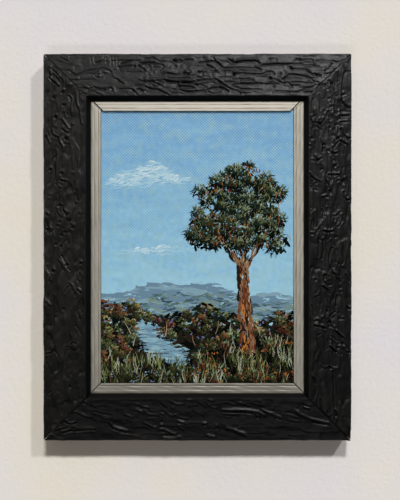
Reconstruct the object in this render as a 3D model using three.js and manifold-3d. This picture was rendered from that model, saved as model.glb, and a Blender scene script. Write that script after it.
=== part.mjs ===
// A small framed painting for a wall: a canvas panel in a reeded silver slip, in a black gessoed moulding.
// Millimetres, +Z up. The picture faces -Y, and the wall it hangs on is the plane Y = 0.
// The origin is on the wall side of the sawtooth hanger, midway along it, where a nail carries the frame.

import * as THREE from 'three';
import { mergeVertices } from 'three/addons/utils/BufferGeometryUtils.js';
import Module from 'manifold-3d';

const wasm = await Module();
wasm.setup();

// Driving dimensions
const panelWidth = 127; // a 5 x 7 inch canvas panel
const panelHeight = 177.8;
const boardDepth = 2.5;
const canvasDepth = 0.5;
const canvasTurn = 9; // how far the canvas is folded over the back of the board
const slipLap = 1.5; // how far the slip covers the edge of the panel
const slipFace = 6.4; // width of slip that shows
const railFace = 30.8; // width of moulding that shows
const wallGap = 2.4; // hanger and bumpers hold the frame this far off the wall
const fit = 0.3; // clearance between pieces that touch
const mitreGap = 0.2; // each mitred end is this much short, measured along its rail

// Depths, measured forward from the flat back of the moulding
const railCrest = 19.4;
const crestBreak = 0.4; // the crest is this much lower where the face meets it
const railOuterEdge = 13.7;
const lipBack = 13.6;
const lipEdge = 1.8; // thickness of the lip at the slip
const slipBack = 5.6;
const slipLip = 11; // back of the slip's own lip, which holds the panel
const slipFront = lipBack - fit;
const panelFront = slipLip - fit;
const panelBack = panelFront - boardDepth - 2 * canvasDepth;

// Widths, measured inward from the outer edge of the moulding
const undercut = 1.2; // the outer side leans in by this much at the back
const edgeRound = 2.2; // height of the eased outer corner
const faceStart = 1;
const rabbet = 25;
const crestOuter = 26.4;
const crestInner = 27.6;
const sight = railFace + slipFace;
const panelRabbet = sight - slipLap - fit;

const halfWidth = panelWidth / 2 - slipLap + sight;
const halfHeight = panelHeight / 2 - slipLap + sight;
const backMid = 13; // middle of the moulding's flat back
const hangerHeight = halfHeight - backMid;

const looks = {
  gesso: { color: 0x1b1a19, roughness: 0.42, metalness: 0 },
  silver: { color: 0xb9b3a6, roughness: 0.34, metalness: 0.85 },
  canvas: { color: 0x87b4c8, roughness: 0.7, metalness: 0 },
  board: { color: 0x6b5138, roughness: 0.85, metalness: 0 },
  steel: { color: 0xa9abad, roughness: 0.35, metalness: 1 },
  brass: { color: 0xb08d4a, roughness: 0.3, metalness: 1 },
  felt: { color: 0x3a3a3c, roughness: 0.95, metalness: 0 },
};

// ---- Helpers ----

function toSolid(geometry) {
  const bare = geometry.clone();
  bare.deleteAttribute('normal');
  bare.deleteAttribute('uv');
  const merged = mergeVertices(bare, 1e-4);
  const vertProperties = new Float32Array(merged.attributes.position.array);
  const triVerts = new Uint32Array(merged.index.array);
  return new wasm.Manifold(new wasm.Mesh({ numProp: 3, vertProperties, triVerts }));
}

function toGeometry(solid) {
  const mesh = solid.getMesh();
  const geometry = new THREE.BufferGeometry();
  geometry.setAttribute('position', new THREE.BufferAttribute(mesh.vertProperties, 3));
  geometry.setIndex(new THREE.BufferAttribute(mesh.triVerts, 1));
  geometry.computeVertexNormals();
  return geometry;
}

function joined(geometries) {
  return geometries.map(toSolid).reduce((whole, piece) => whole.add(piece));
}

function namedMesh(name, geometry, look) {
  const mesh = new THREE.Mesh(geometry, new THREE.MeshStandardMaterial(look));
  mesh.name = name;
  return mesh;
}

function outline(points) {
  return new THREE.Shape(points.map(([x, y]) => new THREE.Vector2(x, y)));
}

function extrude(shape, depth) {
  return new THREE.ExtrudeGeometry(shape, { depth, bevelEnabled: false, curveSegments: 5 });
}

function turned(points, segments) {
  return new THREE.LatheGeometry(points.map(([x, y]) => new THREE.Vector2(x, y)), segments);
}

// A section in (inward, forward) becomes a rail along X whose ends are cut at 45 degrees.
// Its outer edge lies on Z = 0, inward is -Z, forward is -Y, and its back is on Y = -wallGap.
function mitredRail(section, outerLength) {
  const geometry = extrude(section, outerLength);
  const position = geometry.attributes.position;
  for (let i = 0; i < position.count; i++) {
    const inward = position.getX(i);
    const forward = position.getY(i);
    const side = position.getZ(i) > outerLength / 2 ? -1 : 1;
    position.setXYZ(i, side * (outerLength / 2 - inward - mitreGap), -wallGap - forward, -inward);
  }
  return geometry;
}

// ---- Black moulding: an L section whose face slopes up to a crest, then falls to the slip ----

function railSection() {
  return outline([
    [undercut, 0],
    [rabbet, 0],
    [rabbet, lipBack],
    [railFace, lipBack],
    [railFace, lipBack + lipEdge],
    [crestInner, railCrest],
    [crestOuter, railCrest - crestBreak],
    [faceStart, railOuterEdge],
    [faceStart / 4, railOuterEdge - edgeRound * 0.4],
    [0, railOuterEdge - edgeRound],
  ]);
}

// Raised gesso strokes: long drops, each bowed sideways, lying on the sloped face
const faceRun = crestOuter - faceStart;
const faceSlope = Math.atan2(railCrest - crestBreak - railOuterEdge, faceRun);
const stroke = { height: 0.95, width: 2.8, bow: 1.4, stray: 0.07, sides: 6, rings: 6 };

function gessoStroke(along, across, length, width, turn, bow) {
  const geometry = new THREE.SphereGeometry(1, stroke.sides, stroke.rings)
    .scale(width / 2, length / 2, stroke.height);
  const position = geometry.attributes.position;
  for (let i = 0; i < position.count; i++) {
    const share = (2 * position.getY(i)) / length;
    position.setX(i, position.getX(i) + bow * (1 - share * share));
  }
  const face = new THREE.Matrix4().makeBasis(
    new THREE.Vector3(-1, 0, 0),
    new THREE.Vector3(0, -Math.sin(faceSlope), -Math.cos(faceSlope)),
    new THREE.Vector3(0, -Math.cos(faceSlope), Math.sin(faceSlope)),
  );
  return geometry
    .rotateZ(Math.PI / 2 + turn)
    .translate(-along, across, 0)
    .applyMatrix4(face)
    .translate(0, -wallGap - railOuterEdge, -faceStart);
}

function seededRandom(seed) {
  let state = seed;
  return () => {
    state = (state * 16807) % 2147483647;
    return state / 2147483647;
  };
}

// Strokes follow one another in rows along the rail, and are trimmed to its outline at the mitres
function gessoRelief(style, outerLength) {
  const random = seededRandom(style.seed);
  const between = (low, high) => low + (high - low) * random();
  const rowPitch = faceRun / style.rows;
  const strokes = [];
  for (let row = 0; row < style.rows; row++) {
    const middle = (row + 0.5) * rowPitch;
    const reach = outerLength / 2 - faceStart - middle;
    let along = -reach + between(0, 0.5) * style.length;
    while (along < reach) {
      const length = style.length * between(0.6, 1.3);
      const width = stroke.width * between(0.8, 1.3);
      const turn = style.turn + between(-stroke.stray, stroke.stray);
      const across = middle + between(-0.25, 0.25) * rowPitch;
      strokes.push(gessoStroke(along, across, length, width, turn, between(-stroke.bow, stroke.bow)));
      along += length * between(0.9, 1.3);
    }
  }
  const front = railCrest + stroke.height;
  const wedge = mitredRail(outline([[0, 0], [crestInner, 0], [crestInner, front], [0, front]]), outerLength);
  return joined(strokes).intersect(toSolid(wedge));
}

function mouldingRail(style, outerLength) {
  const cuts = pointPlaces(outerLength, slipPoint).map((place) => pointSlot(place, rabbet, slipPoint));
  for (const inward of wedgePlaces) {
    cuts.push(wedgeNail(-1, outerLength, inward, fit), wedgeNail(1, outerLength, inward, fit));
  }
  if (style.hung) {
    cuts.push(nailHole(-1), nailHole(1));
  }
  const body = toSolid(mitredRail(railSection(), outerLength));
  return toGeometry(body.add(gessoRelief(style, outerLength)).subtract(joined(cuts)));
}

// ---- Silver slip: from the sight edge outward, a bead, a cove, a reed, a V groove and a bead ----

const innerBead = { centre: sight - 0.65, halfWidth: 0.65, rise: 0.75, foot: slipFront - 0.5 };
const reed = { centre: sight - 3, halfWidth: 0.9, rise: 0.6, foot: slipFront - 0.1 };
const outerBead = { centre: sight - 5.3, halfWidth: 0.8, rise: 0.8, foot: slipFront };
const grooveDepth = 0.5;

function addRound(section, round) {
  section.lineTo(round.centre + round.halfWidth, round.foot);
  section.absellipse(round.centre, round.foot, round.halfWidth, round.rise, 0, Math.PI, false);
}

function slipSection() {
  const section = new THREE.Shape();
  section.moveTo(rabbet + fit, slipBack);
  section.lineTo(panelRabbet, slipBack);
  section.lineTo(panelRabbet, slipLip);
  section.lineTo(sight, slipLip);
  addRound(section, innerBead);
  addRound(section, reed);
  section.lineTo((reed.centre - reed.halfWidth + outerBead.centre + outerBead.halfWidth) / 2,
    slipFront - grooveDepth);
  addRound(section, outerBead);
  section.lineTo(rabbet + fit, slipFront);
  return section;
}

function slipRail(outerLength) {
  const slots = pointPlaces(outerLength, panelPoint).map((place) => pointSlot(place, panelRabbet, panelPoint));
  return toGeometry(toSolid(mitredRail(slipSection(), outerLength)).subtract(joined(slots)));
}

// ---- Canvas panel: canvas glued round a board and turned over its back ----

// A block centred on the picture, between two depths
function pictureBlock(width, height, back, front) {
  return new THREE.BoxGeometry(width, front - back, height).translate(0, -wallGap - (front + back) / 2, 0);
}

function canvasSkin() {
  const widthInside = panelWidth - 2 * canvasDepth;
  const heightInside = panelHeight - 2 * canvasDepth;
  const hollow = pictureBlock(widthInside, heightInside, panelBack + canvasDepth, panelFront - canvasDepth);
  const backWindow = pictureBlock(
    panelWidth - 2 * canvasTurn, panelHeight - 2 * canvasTurn, panelBack - canvasDepth, panelFront - boardDepth);
  const whole = pictureBlock(panelWidth, panelHeight, panelBack, panelFront);
  return toGeometry(toSolid(whole).subtract(joined([hollow, backWindow])));
}

function board() {
  const shrink = 2 * canvasDepth + fit;
  const front = panelFront - canvasDepth;
  return pictureBlock(panelWidth - shrink, panelHeight - shrink, front - boardDepth, front);
}

// ---- Framer's points: flat steel darts driven into a rabbet wall behind what they hold ----

const pointLength = 13;
const pointDriven = 4;
const pointWidth = 6;
const pointDepth = 0.4;
const pointCorner = 1;
const slipPoint = { front: slipBack - fit, share: 0.31 };
const panelPoint = { front: panelBack - fit, share: 0.2 };

function pointPlaces(outerLength, point) {
  return [-point.share * outerLength, point.share * outerLength];
}

// A dart at `place` along a rail, its tip driven outward through the wall that stands at `inward`
function framerPoint(place, inward, point) {
  const half = pointWidth / 2;
  const shoulder = pointDriven - half;
  const tail = pointDriven - pointLength;
  const shape = outline([
    [0, pointDriven], [-half, shoulder], [-half, tail + pointCorner], [-half + pointCorner, tail],
    [half - pointCorner, tail], [half, tail + pointCorner], [half, shoulder],
  ]);
  return extrude(shape, pointDepth)
    .rotateX(Math.PI / 2)
    .translate(place, -wallGap - point.front + pointDepth, -inward);
}

function pointSlot(place, inward, point) {
  const depth = pointDriven + fit;
  const mouth = 1;
  return new THREE.BoxGeometry(pointWidth + 2 * fit, pointDepth + 2 * fit, depth + mouth)
    .translate(place, -wallGap - point.front + pointDepth / 2, -inward + (depth - mouth) / 2);
}

// ---- Wedge nails: V strips pressed into the back across each mitre ----

const wedgePlaces = [7.5, 17.5];
const wedgeLeg = 3.2;
const wedgeThickness = 0.5;
const wedgeDepth = 6;

// The V at one end of a rail, open towards the outer corner; with `grow` it is the slot that takes the nail
function wedgeNail(end, outerLength, inward, grow) {
  const leg = wedgeLeg + grow;
  const miter = (wedgeThickness / 2 + grow) * Math.SQRT2;
  const shape = outline([
    [0, miter], [-leg, leg + miter], [-leg - miter, leg], [0, -miter], [leg + miter, leg], [leg, leg + miter],
  ]);
  return extrude(shape, wedgeDepth + 2 * grow)
    .rotateZ((-end * Math.PI) / 4)
    .rotateX(Math.PI / 2)
    .translate(end * (outerLength / 2 - inward), -wallGap + grow, -inward);
}

// ---- Sawtooth hanger: a strip whose tabs lie on the wood and whose middle stands off for a nail ----

const hangerHalf = 22;
const hangerWidth = 8;
const hangerSheet = 0.8;
const tabStart = 16.3;
const raisedHalf = 13.8;
const bendSlant = 0.4;
const toothPitch = 2.4;
const toothCount = 11;
const toothDepth = 1.6;
const nailPlace = 19.2;
const nailRadius = 0.6;
const nailLength = 9;
const nailTip = 1.2;
const nailHead = 1.7;
const nailSides = 16;

function hanger() {
  const lift = wallGap - hangerSheet;
  const half = [
    [hangerHalf, 0], [hangerHalf, hangerSheet], [tabStart - bendSlant, hangerSheet],
    [raisedHalf - bendSlant, wallGap],
  ];
  const mirrored = [...half].reverse().map(([x, y]) => [-x, y]);
  const strip = outline([...half, ...mirrored, [-tabStart, 0], [-raisedHalf, lift], [raisedHalf, lift], [tabStart, 0]]);
  const plate = extrude(strip, hangerWidth).translate(0, -wallGap, -hangerWidth / 2);

  const edge = -hangerWidth / 2;
  const sawHalf = (toothCount * toothPitch) / 2;
  const saw = [[-sawHalf, 2 * edge]];
  for (let i = 0; i < toothCount; i++) {
    saw.push([-sawHalf + i * toothPitch, edge - 0.1], [-sawHalf + (i + 0.5) * toothPitch, edge + toothDepth]);
  }
  saw.push([sawHalf, edge - 0.1], [sawHalf, 2 * edge]);
  const cuts = [extrude(outline(saw), 2 * wallGap).rotateX(Math.PI / 2).translate(0, wallGap, 0)];
  for (const side of [-1, 1]) {
    cuts.push(new THREE.CylinderGeometry(nailRadius + fit, nailRadius + fit, 4 * wallGap, nailSides)
      .translate(side * nailPlace, 0, 0));
  }
  return toGeometry(toSolid(plate).subtract(joined(cuts)));
}

function nailHole(side) {
  const depth = nailLength + fit;
  const mouth = 1;
  return new THREE.CylinderGeometry(nailRadius + fit, nailRadius + fit, depth + mouth, nailSides)
    .translate(side * nailPlace, -wallGap - (depth - mouth) / 2, -backMid);
}

// Turned about Y, tip forward, with a domed head on the hanger's tab
function nail() {
  return turned([
    [0, -nailLength], [nailRadius, nailTip - nailLength], [nailRadius, hangerSheet], [nailHead, hangerSheet],
    [nailHead * 0.9, hangerSheet + 0.35], [nailHead * 0.5, hangerSheet + 0.6], [0, hangerSheet + 0.7],
  ], nailSides);
}

// ---- Felt bumpers ----

const bumperRadius = 5;
const bumperEase = 0.5;
const bumperInset = 13;

function bumper() {
  return turned([
    [0, 0], [bumperRadius, 0], [bumperRadius, wallGap - bumperEase], [bumperRadius - bumperEase, wallGap],
    [0, wallGap],
  ], 24);
}

// ---- Assembly ----

// Each rail is drawn as the top one and turned about the picture's centre by quarter turns
const sides = [
  { name: 'top', quarter: 0, half: halfHeight, length: 2 * halfWidth,
    style: { seed: 17, rows: 4, length: 40, turn: 0.02, hung: true } },
  { name: 'right', quarter: 1, half: halfWidth, length: 2 * halfHeight,
    style: { seed: 29, rows: 3, length: 36, turn: -0.04, hung: false } },
  { name: 'bottom', quarter: 2, half: halfHeight, length: 2 * halfWidth,
    style: { seed: 41, rows: 4, length: 26, turn: -0.3, hung: false } },
  { name: 'left', quarter: 3, half: halfWidth, length: 2 * halfHeight,
    style: { seed: 53, rows: 4, length: 34, turn: 0.03, hung: false } },
];

function frameSide({ name, quarter, half, length, style }) {
  const group = new THREE.Group();
  group.rotation.y = (quarter * Math.PI) / 2;
  group.position.set(0, 0, half).applyEuler(group.rotation);
  group.add(namedMesh(`rail_${name}`, mouldingRail(style, length), looks.gesso));
  group.add(namedMesh(`slip_${name}`, slipRail(length), looks.silver));
  pointPlaces(length, slipPoint).forEach((place, i) => {
    group.add(namedMesh(`slip_point_${name}_${i + 1}`, framerPoint(place, rabbet, slipPoint), looks.steel));
  });
  pointPlaces(length, panelPoint).forEach((place, i) => {
    const point = framerPoint(place, panelRabbet, panelPoint);
    group.add(namedMesh(`panel_point_${name}_${i + 1}`, point, looks.steel));
  });
  wedgePlaces.forEach((inward, i) => {
    group.add(namedMesh(`wedge_nail_${name}_${i + 1}`, wedgeNail(1, length, inward, 0), looks.steel));
  });
  return group;
}

const picture = new THREE.Group();
picture.position.z = -hangerHeight;
sides.forEach((side) => picture.add(frameSide(side)));
picture.add(namedMesh('canvas', canvasSkin(), looks.canvas));
picture.add(namedMesh('panel_board', board(), looks.board));

const hangerMesh = namedMesh('sawtooth_hanger', hanger(), looks.brass);
hangerMesh.position.z = hangerHeight;
picture.add(hangerMesh);

for (const [name, side] of [['left', -1], ['right', 1]]) {
  const hangerNail = namedMesh(`hanger_nail_${name}`, nail(), looks.steel);
  hangerNail.position.set(side * nailPlace, -wallGap, hangerHeight);
  const pad = namedMesh(`bumper_${name}`, bumper(), looks.felt);
  pad.position.set(side * (halfWidth - bumperInset), -wallGap, bumperInset - halfHeight);
  picture.add(hangerNail, pad);
}

const group = new THREE.Group();
group.add(picture);
export default group;
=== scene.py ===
from math import cos, pi, radians, sin

import bmesh
import bpy
import numpy as np
from mathutils import Matrix, Vector


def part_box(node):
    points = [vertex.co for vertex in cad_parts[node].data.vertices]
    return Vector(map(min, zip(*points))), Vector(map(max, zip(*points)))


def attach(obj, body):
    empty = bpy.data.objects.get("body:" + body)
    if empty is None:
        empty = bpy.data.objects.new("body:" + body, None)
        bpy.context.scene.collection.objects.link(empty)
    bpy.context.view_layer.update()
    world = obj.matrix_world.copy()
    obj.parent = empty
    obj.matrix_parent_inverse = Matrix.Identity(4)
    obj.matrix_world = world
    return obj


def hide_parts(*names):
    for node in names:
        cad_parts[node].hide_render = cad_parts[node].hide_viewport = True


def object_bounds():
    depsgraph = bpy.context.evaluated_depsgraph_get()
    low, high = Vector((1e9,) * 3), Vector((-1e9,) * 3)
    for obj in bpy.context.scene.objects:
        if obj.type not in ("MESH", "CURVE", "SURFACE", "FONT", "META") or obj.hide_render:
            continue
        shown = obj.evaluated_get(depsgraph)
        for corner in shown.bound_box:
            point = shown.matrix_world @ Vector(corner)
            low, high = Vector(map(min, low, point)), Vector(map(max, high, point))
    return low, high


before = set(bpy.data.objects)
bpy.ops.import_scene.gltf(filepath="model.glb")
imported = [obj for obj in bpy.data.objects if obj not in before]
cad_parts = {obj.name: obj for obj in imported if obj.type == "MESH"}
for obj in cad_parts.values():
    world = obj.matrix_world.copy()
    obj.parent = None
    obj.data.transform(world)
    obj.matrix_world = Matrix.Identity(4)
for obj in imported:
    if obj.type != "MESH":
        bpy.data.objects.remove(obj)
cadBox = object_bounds()
mm = 0.001


def toLinear(hexText):
    channels = [int(hexText[i:i + 2], 16) / 255 for i in (1, 3, 5)]
    return [c / 12.92 if c <= 0.04045 else ((c + 0.055) / 1.055) ** 2.4 for c in channels] + [1]


# Links each source, a socket or a node's first output, into the input named by its key
def link(tree, node, sources):
    for key, source in sources.items():
        tree.links.new(source.outputs[0] if isinstance(source, bpy.types.Node) else source, node.inputs[key])


# Sets a node's own settings or its inputs, then links sources into it; "stops" fills a colour ramp
def addNode(tree, kind, settings=None, sources=None):
    node = tree.nodes.new("ShaderNode" + kind)
    for key, value in (settings or {}).items():
        if key == "stops":
            ramp = node.color_ramp
            while len(ramp.elements) < len(value):
                ramp.elements.new(1)
            for element, (place, colour) in zip(ramp.elements, value):
                element.position = place
                element.color = toLinear(colour)
        elif isinstance(key, str) and hasattr(node, key):
            setattr(node, key, value)
        else:
            node.inputs[key].default_value = value
    link(tree, node, sources or {})
    return node


def startMaterial(name, colour, roughness, metallic=0.0, specular=0.5):
    material = bpy.data.materials.new(name)
    material.use_nodes = True
    tree = material.node_tree
    shader = tree.nodes["Principled BSDF"]
    shader.inputs["Base Color"].default_value = toLinear(colour)
    shader.inputs["Roughness"].default_value = roughness
    shader.inputs["Metallic"].default_value = metallic
    shader.inputs["Specular IOR Level"].default_value = specular
    return material, tree, shader


# Keeps a vector for each point of a mesh, to steer its material with
def setVectors(mesh, name, vectors):
    kept = mesh.attributes.new(name, "FLOAT_VECTOR", "POINT")
    kept.data.foreach_set("vector", vectors.astype(np.float32).ravel())


def makePiece(name, mesh, materials, nodes=()):
    piece = bpy.data.objects.new(name, mesh)
    bpy.context.scene.collection.objects.link(piece)
    for material in materials:
        mesh.materials.append(material)
    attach(piece, "root")
    if nodes:
        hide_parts(*nodes)
    return piece


camera = {
    "distance": 0.7,
    "pictureHigh": 318.3 * mm,   # what the view takes in at the moulding
    "aimRight": 1.7 * mm,        # the view's middle lies a little right of the frame's and below it
    "aimDown": 1.8 * mm,
    "sensor": 36.0,
}
frameMiddle = (cadBox[0] + cadBox[1]) / 2


def placeCamera():
    data = bpy.data.cameras.new("camera")
    data.sensor_fit = "AUTO"
    data.sensor_width = camera["sensor"]
    data.lens = camera["sensor"] * camera["distance"] / camera["pictureHigh"]
    data.clip_start = 0.05
    view = bpy.data.objects.new("camera", data)
    view.location = (
        frameMiddle.x + camera["aimRight"],
        cadBox[0].y - camera["distance"],
        frameMiddle.z - camera["aimDown"],
    )
    view.rotation_euler = (pi / 2, 0, 0)
    bpy.context.scene.collection.objects.link(view)
    bpy.context.scene.camera = view


placeCamera()
print("camera placed")


# Gesso relief, as a height map over each rail. Lengths are in millimetres: x runs along the rail,
# to the right or up, and v runs inward from the outer edge, negative round the outer side.
relief = {
    "cell": 0.16,
    "vLow": -14.0,
    "vHigh": 31.5,
    "grooveHalf": 0.42,
    "ridgeHalf": 0.62,
    "lipOff": 1.05,
    "reach": 5.0,                # how far from its path a mark is worked out
    # lanes: where across the map, how much they bow and tilt, and how soft their edges are
    "laneV": (-12, 28), "laneBow": 0.9, "laneTilt": 0.05, "laneEdge": 0.9,
    # creases: two sizes along and across, the softness of a step, the width of the crease at its
    # foot, and how far off and how wide the rise beyond it is
    "folds": ((17, 4.4), (6, 2.2)), "foldStep": 0.3, "foldWidth": 0.16, "foldRise": (0.36, 0.2),
    "shade": (-0.53, -0.85),     # to the left and down, where the tool left a hollow beside each ridge
}


def softNoise(rng, shape, stepX, stepV):
    stepX, stepV = stepX / relief["cell"], stepV / relief["cell"]
    coarse = rng.uniform(-1, 1, (int(shape[0] / stepX) + 3, int(shape[1] / stepV) + 3))
    row, column = np.arange(shape[0]) / stepX, np.arange(shape[1]) / stepV
    i, j = row.astype(int), column.astype(int)
    a, b = row - i, column - j
    a, b = (a * a * (3 - 2 * a))[:, None], (b * b * (3 - 2 * b))[None, :]
    low = coarse[i][:, j] * (1 - a) + coarse[i + 1][:, j] * a
    high = coarse[i][:, j + 1] * (1 - a) + coarse[i + 1][:, j + 1] * a
    return low * (1 - b) + high * b


def blurred(field, times):
    for _ in range(times):
        field = np.pad(field, 1, mode="edge")
        field = (field[:-2] + 2 * field[1:-1] + field[2:]) / 4
        field = (field[:, :-2] + 2 * field[:, 1:-1] + field[:, 2:]) / 4
    return field


# A smooth path through the points given, with a point about every millimetre
def smoothPath(points):
    points = np.array(points, float).reshape(-1, 2)
    if len(points) == 1:
        return points
    ends = np.vstack([2 * points[0] - points[1], points, 2 * points[-1] - points[-2]])
    path = []
    for p, q, r, s in zip(ends, ends[1:], ends[2:], ends[3:]):
        steps = max(int(np.linalg.norm(r - q)), 1)
        t = (np.arange(steps) / steps)[:, None]
        path.append(0.5 * (2 * q + (r - p) * t + (2 * p - 5 * q + 4 * r - s) * t ** 2
                           + (3 * q - p - 3 * r + s) * t ** 3))
    return np.vstack(path + [points[-1:]])


# The part of the map within reach of a path, with each cell's distance from it, its place along it
# (0 to 1), and its distance towards the shaded side
def nearPath(field, half, path, reach, shade):
    cell = relief["cell"]
    low, high = path.min(axis=0) - reach, path.max(axis=0) + reach
    lowX, lowV = max(int((low[0] + half) / cell), 0), max(int((low[1] - relief["vLow"]) / cell), 0)
    highX = min(int((high[0] + half) / cell), field.shape[0])
    highV = min(int((high[1] - relief["vLow"]) / cell), field.shape[1])
    if lowX >= highX or lowV >= highV:
        return None
    x = (np.arange(lowX, highX) * cell - half)[:, None]
    v = (np.arange(lowV, highV) * cell + relief["vLow"])[None, :]
    distance = np.full((highX - lowX, highV - lowV), 1e9)
    along, shaded = np.zeros_like(distance), np.zeros_like(distance)
    if len(path) == 1:
        path = np.vstack([path, path + 0.01])
    for k in range(len(path) - 1):
        step = path[k + 1] - path[k]
        size = max(np.hypot(*step), 1e-6)
        share = np.clip(((x - path[k][0]) * step[0] + (v - path[k][1]) * step[1]) / size ** 2, 0, 1)
        dx, dv = x - path[k][0] - share * step[0], v - path[k][1] - share * step[1]
        here = np.hypot(dx, dv)
        nearer = here < distance
        side = np.array([-step[1], step[0]]) / size
        side = side * (1 if side @ shade > 0 else -1)
        distance = np.where(nearer, here, distance)
        along = np.where(nearer, (k + share) / (len(path) - 1), along)
        shaded = np.where(nearer, dx * side[0] + dv * side[1], shaded)
    return (slice(lowX, highX), slice(lowV, highV)), distance, along, shaded


def workMark(field, half, shade, kind, size, points):
    path = smoothPath(points)
    found = nearPath(field, half, path, relief["reach"], shade)
    if found is None:
        return
    area, distance, along, shaded = found
    if kind == "groove":
        # a drawn line, deepest where the tool went in, with a soft lip on both sides
        depth = size * (1 - 0.3 * along)
        change = -depth * np.exp(-(distance / relief["grooveHalf"]) ** 2)
        change += 0.28 * depth * np.exp(-((distance - relief["lipOff"]) / 0.5) ** 2)
    elif kind == "ridge":
        # paste pushed up by the tool, with a hollow along its shaded side
        rise = size * (0.75 + 0.25 * np.sin(pi * along))
        wide = relief["ridgeHalf"] * (0.8 + 0.5 * size)
        change = rise * np.exp(-(distance / wide) ** 2)
        hollow = np.exp(-((shaded - 1.9 * wide) / (0.8 * wide)) ** 2)
        change -= 0.55 * rise * hollow * (np.abs(distance - np.abs(shaded)) < 0.25)
    elif kind == "pit":
        change = -size * np.exp(-(distance / (0.7 + 0.35 * size)) ** 2)
        change += 0.2 * size * np.exp(-((distance - 1.5) / 0.5) ** 2)
    else:
        # a knob of paste where the knife lifted
        change = size * np.exp(-(distance / (0.75 + 0.3 * size)) ** 2)
    field[area] += change


# A lane is a low flattened band laid over what is under it, with a shallow groove round its edge
def layLane(field, half, lane):
    path = smoothPath(lane["points"])
    found = nearPath(field, half, path, lane["width"] / 2 + 2, np.array((0.0, 1.0)))
    if found is None:
        return
    area, distance, _, shaded = found
    edge = distance - lane["width"] / 2
    cover = np.clip(0.5 - edge / relief["laneEdge"], 0, 1)
    cover = cover * cover * (3 - 2 * cover)
    crown = lane["crown"] * (1 - np.clip(distance / (lane["width"] / 2), 0, 1) ** 2)
    top = lane["level"] + crown + lane["tilt"] * shaded
    groove = np.exp(-((edge - 0.2) / relief["grooveHalf"]) ** 2) * lane["groove"]
    field[area] = field[area] * (1 - cover) + top * cover - groove


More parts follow.
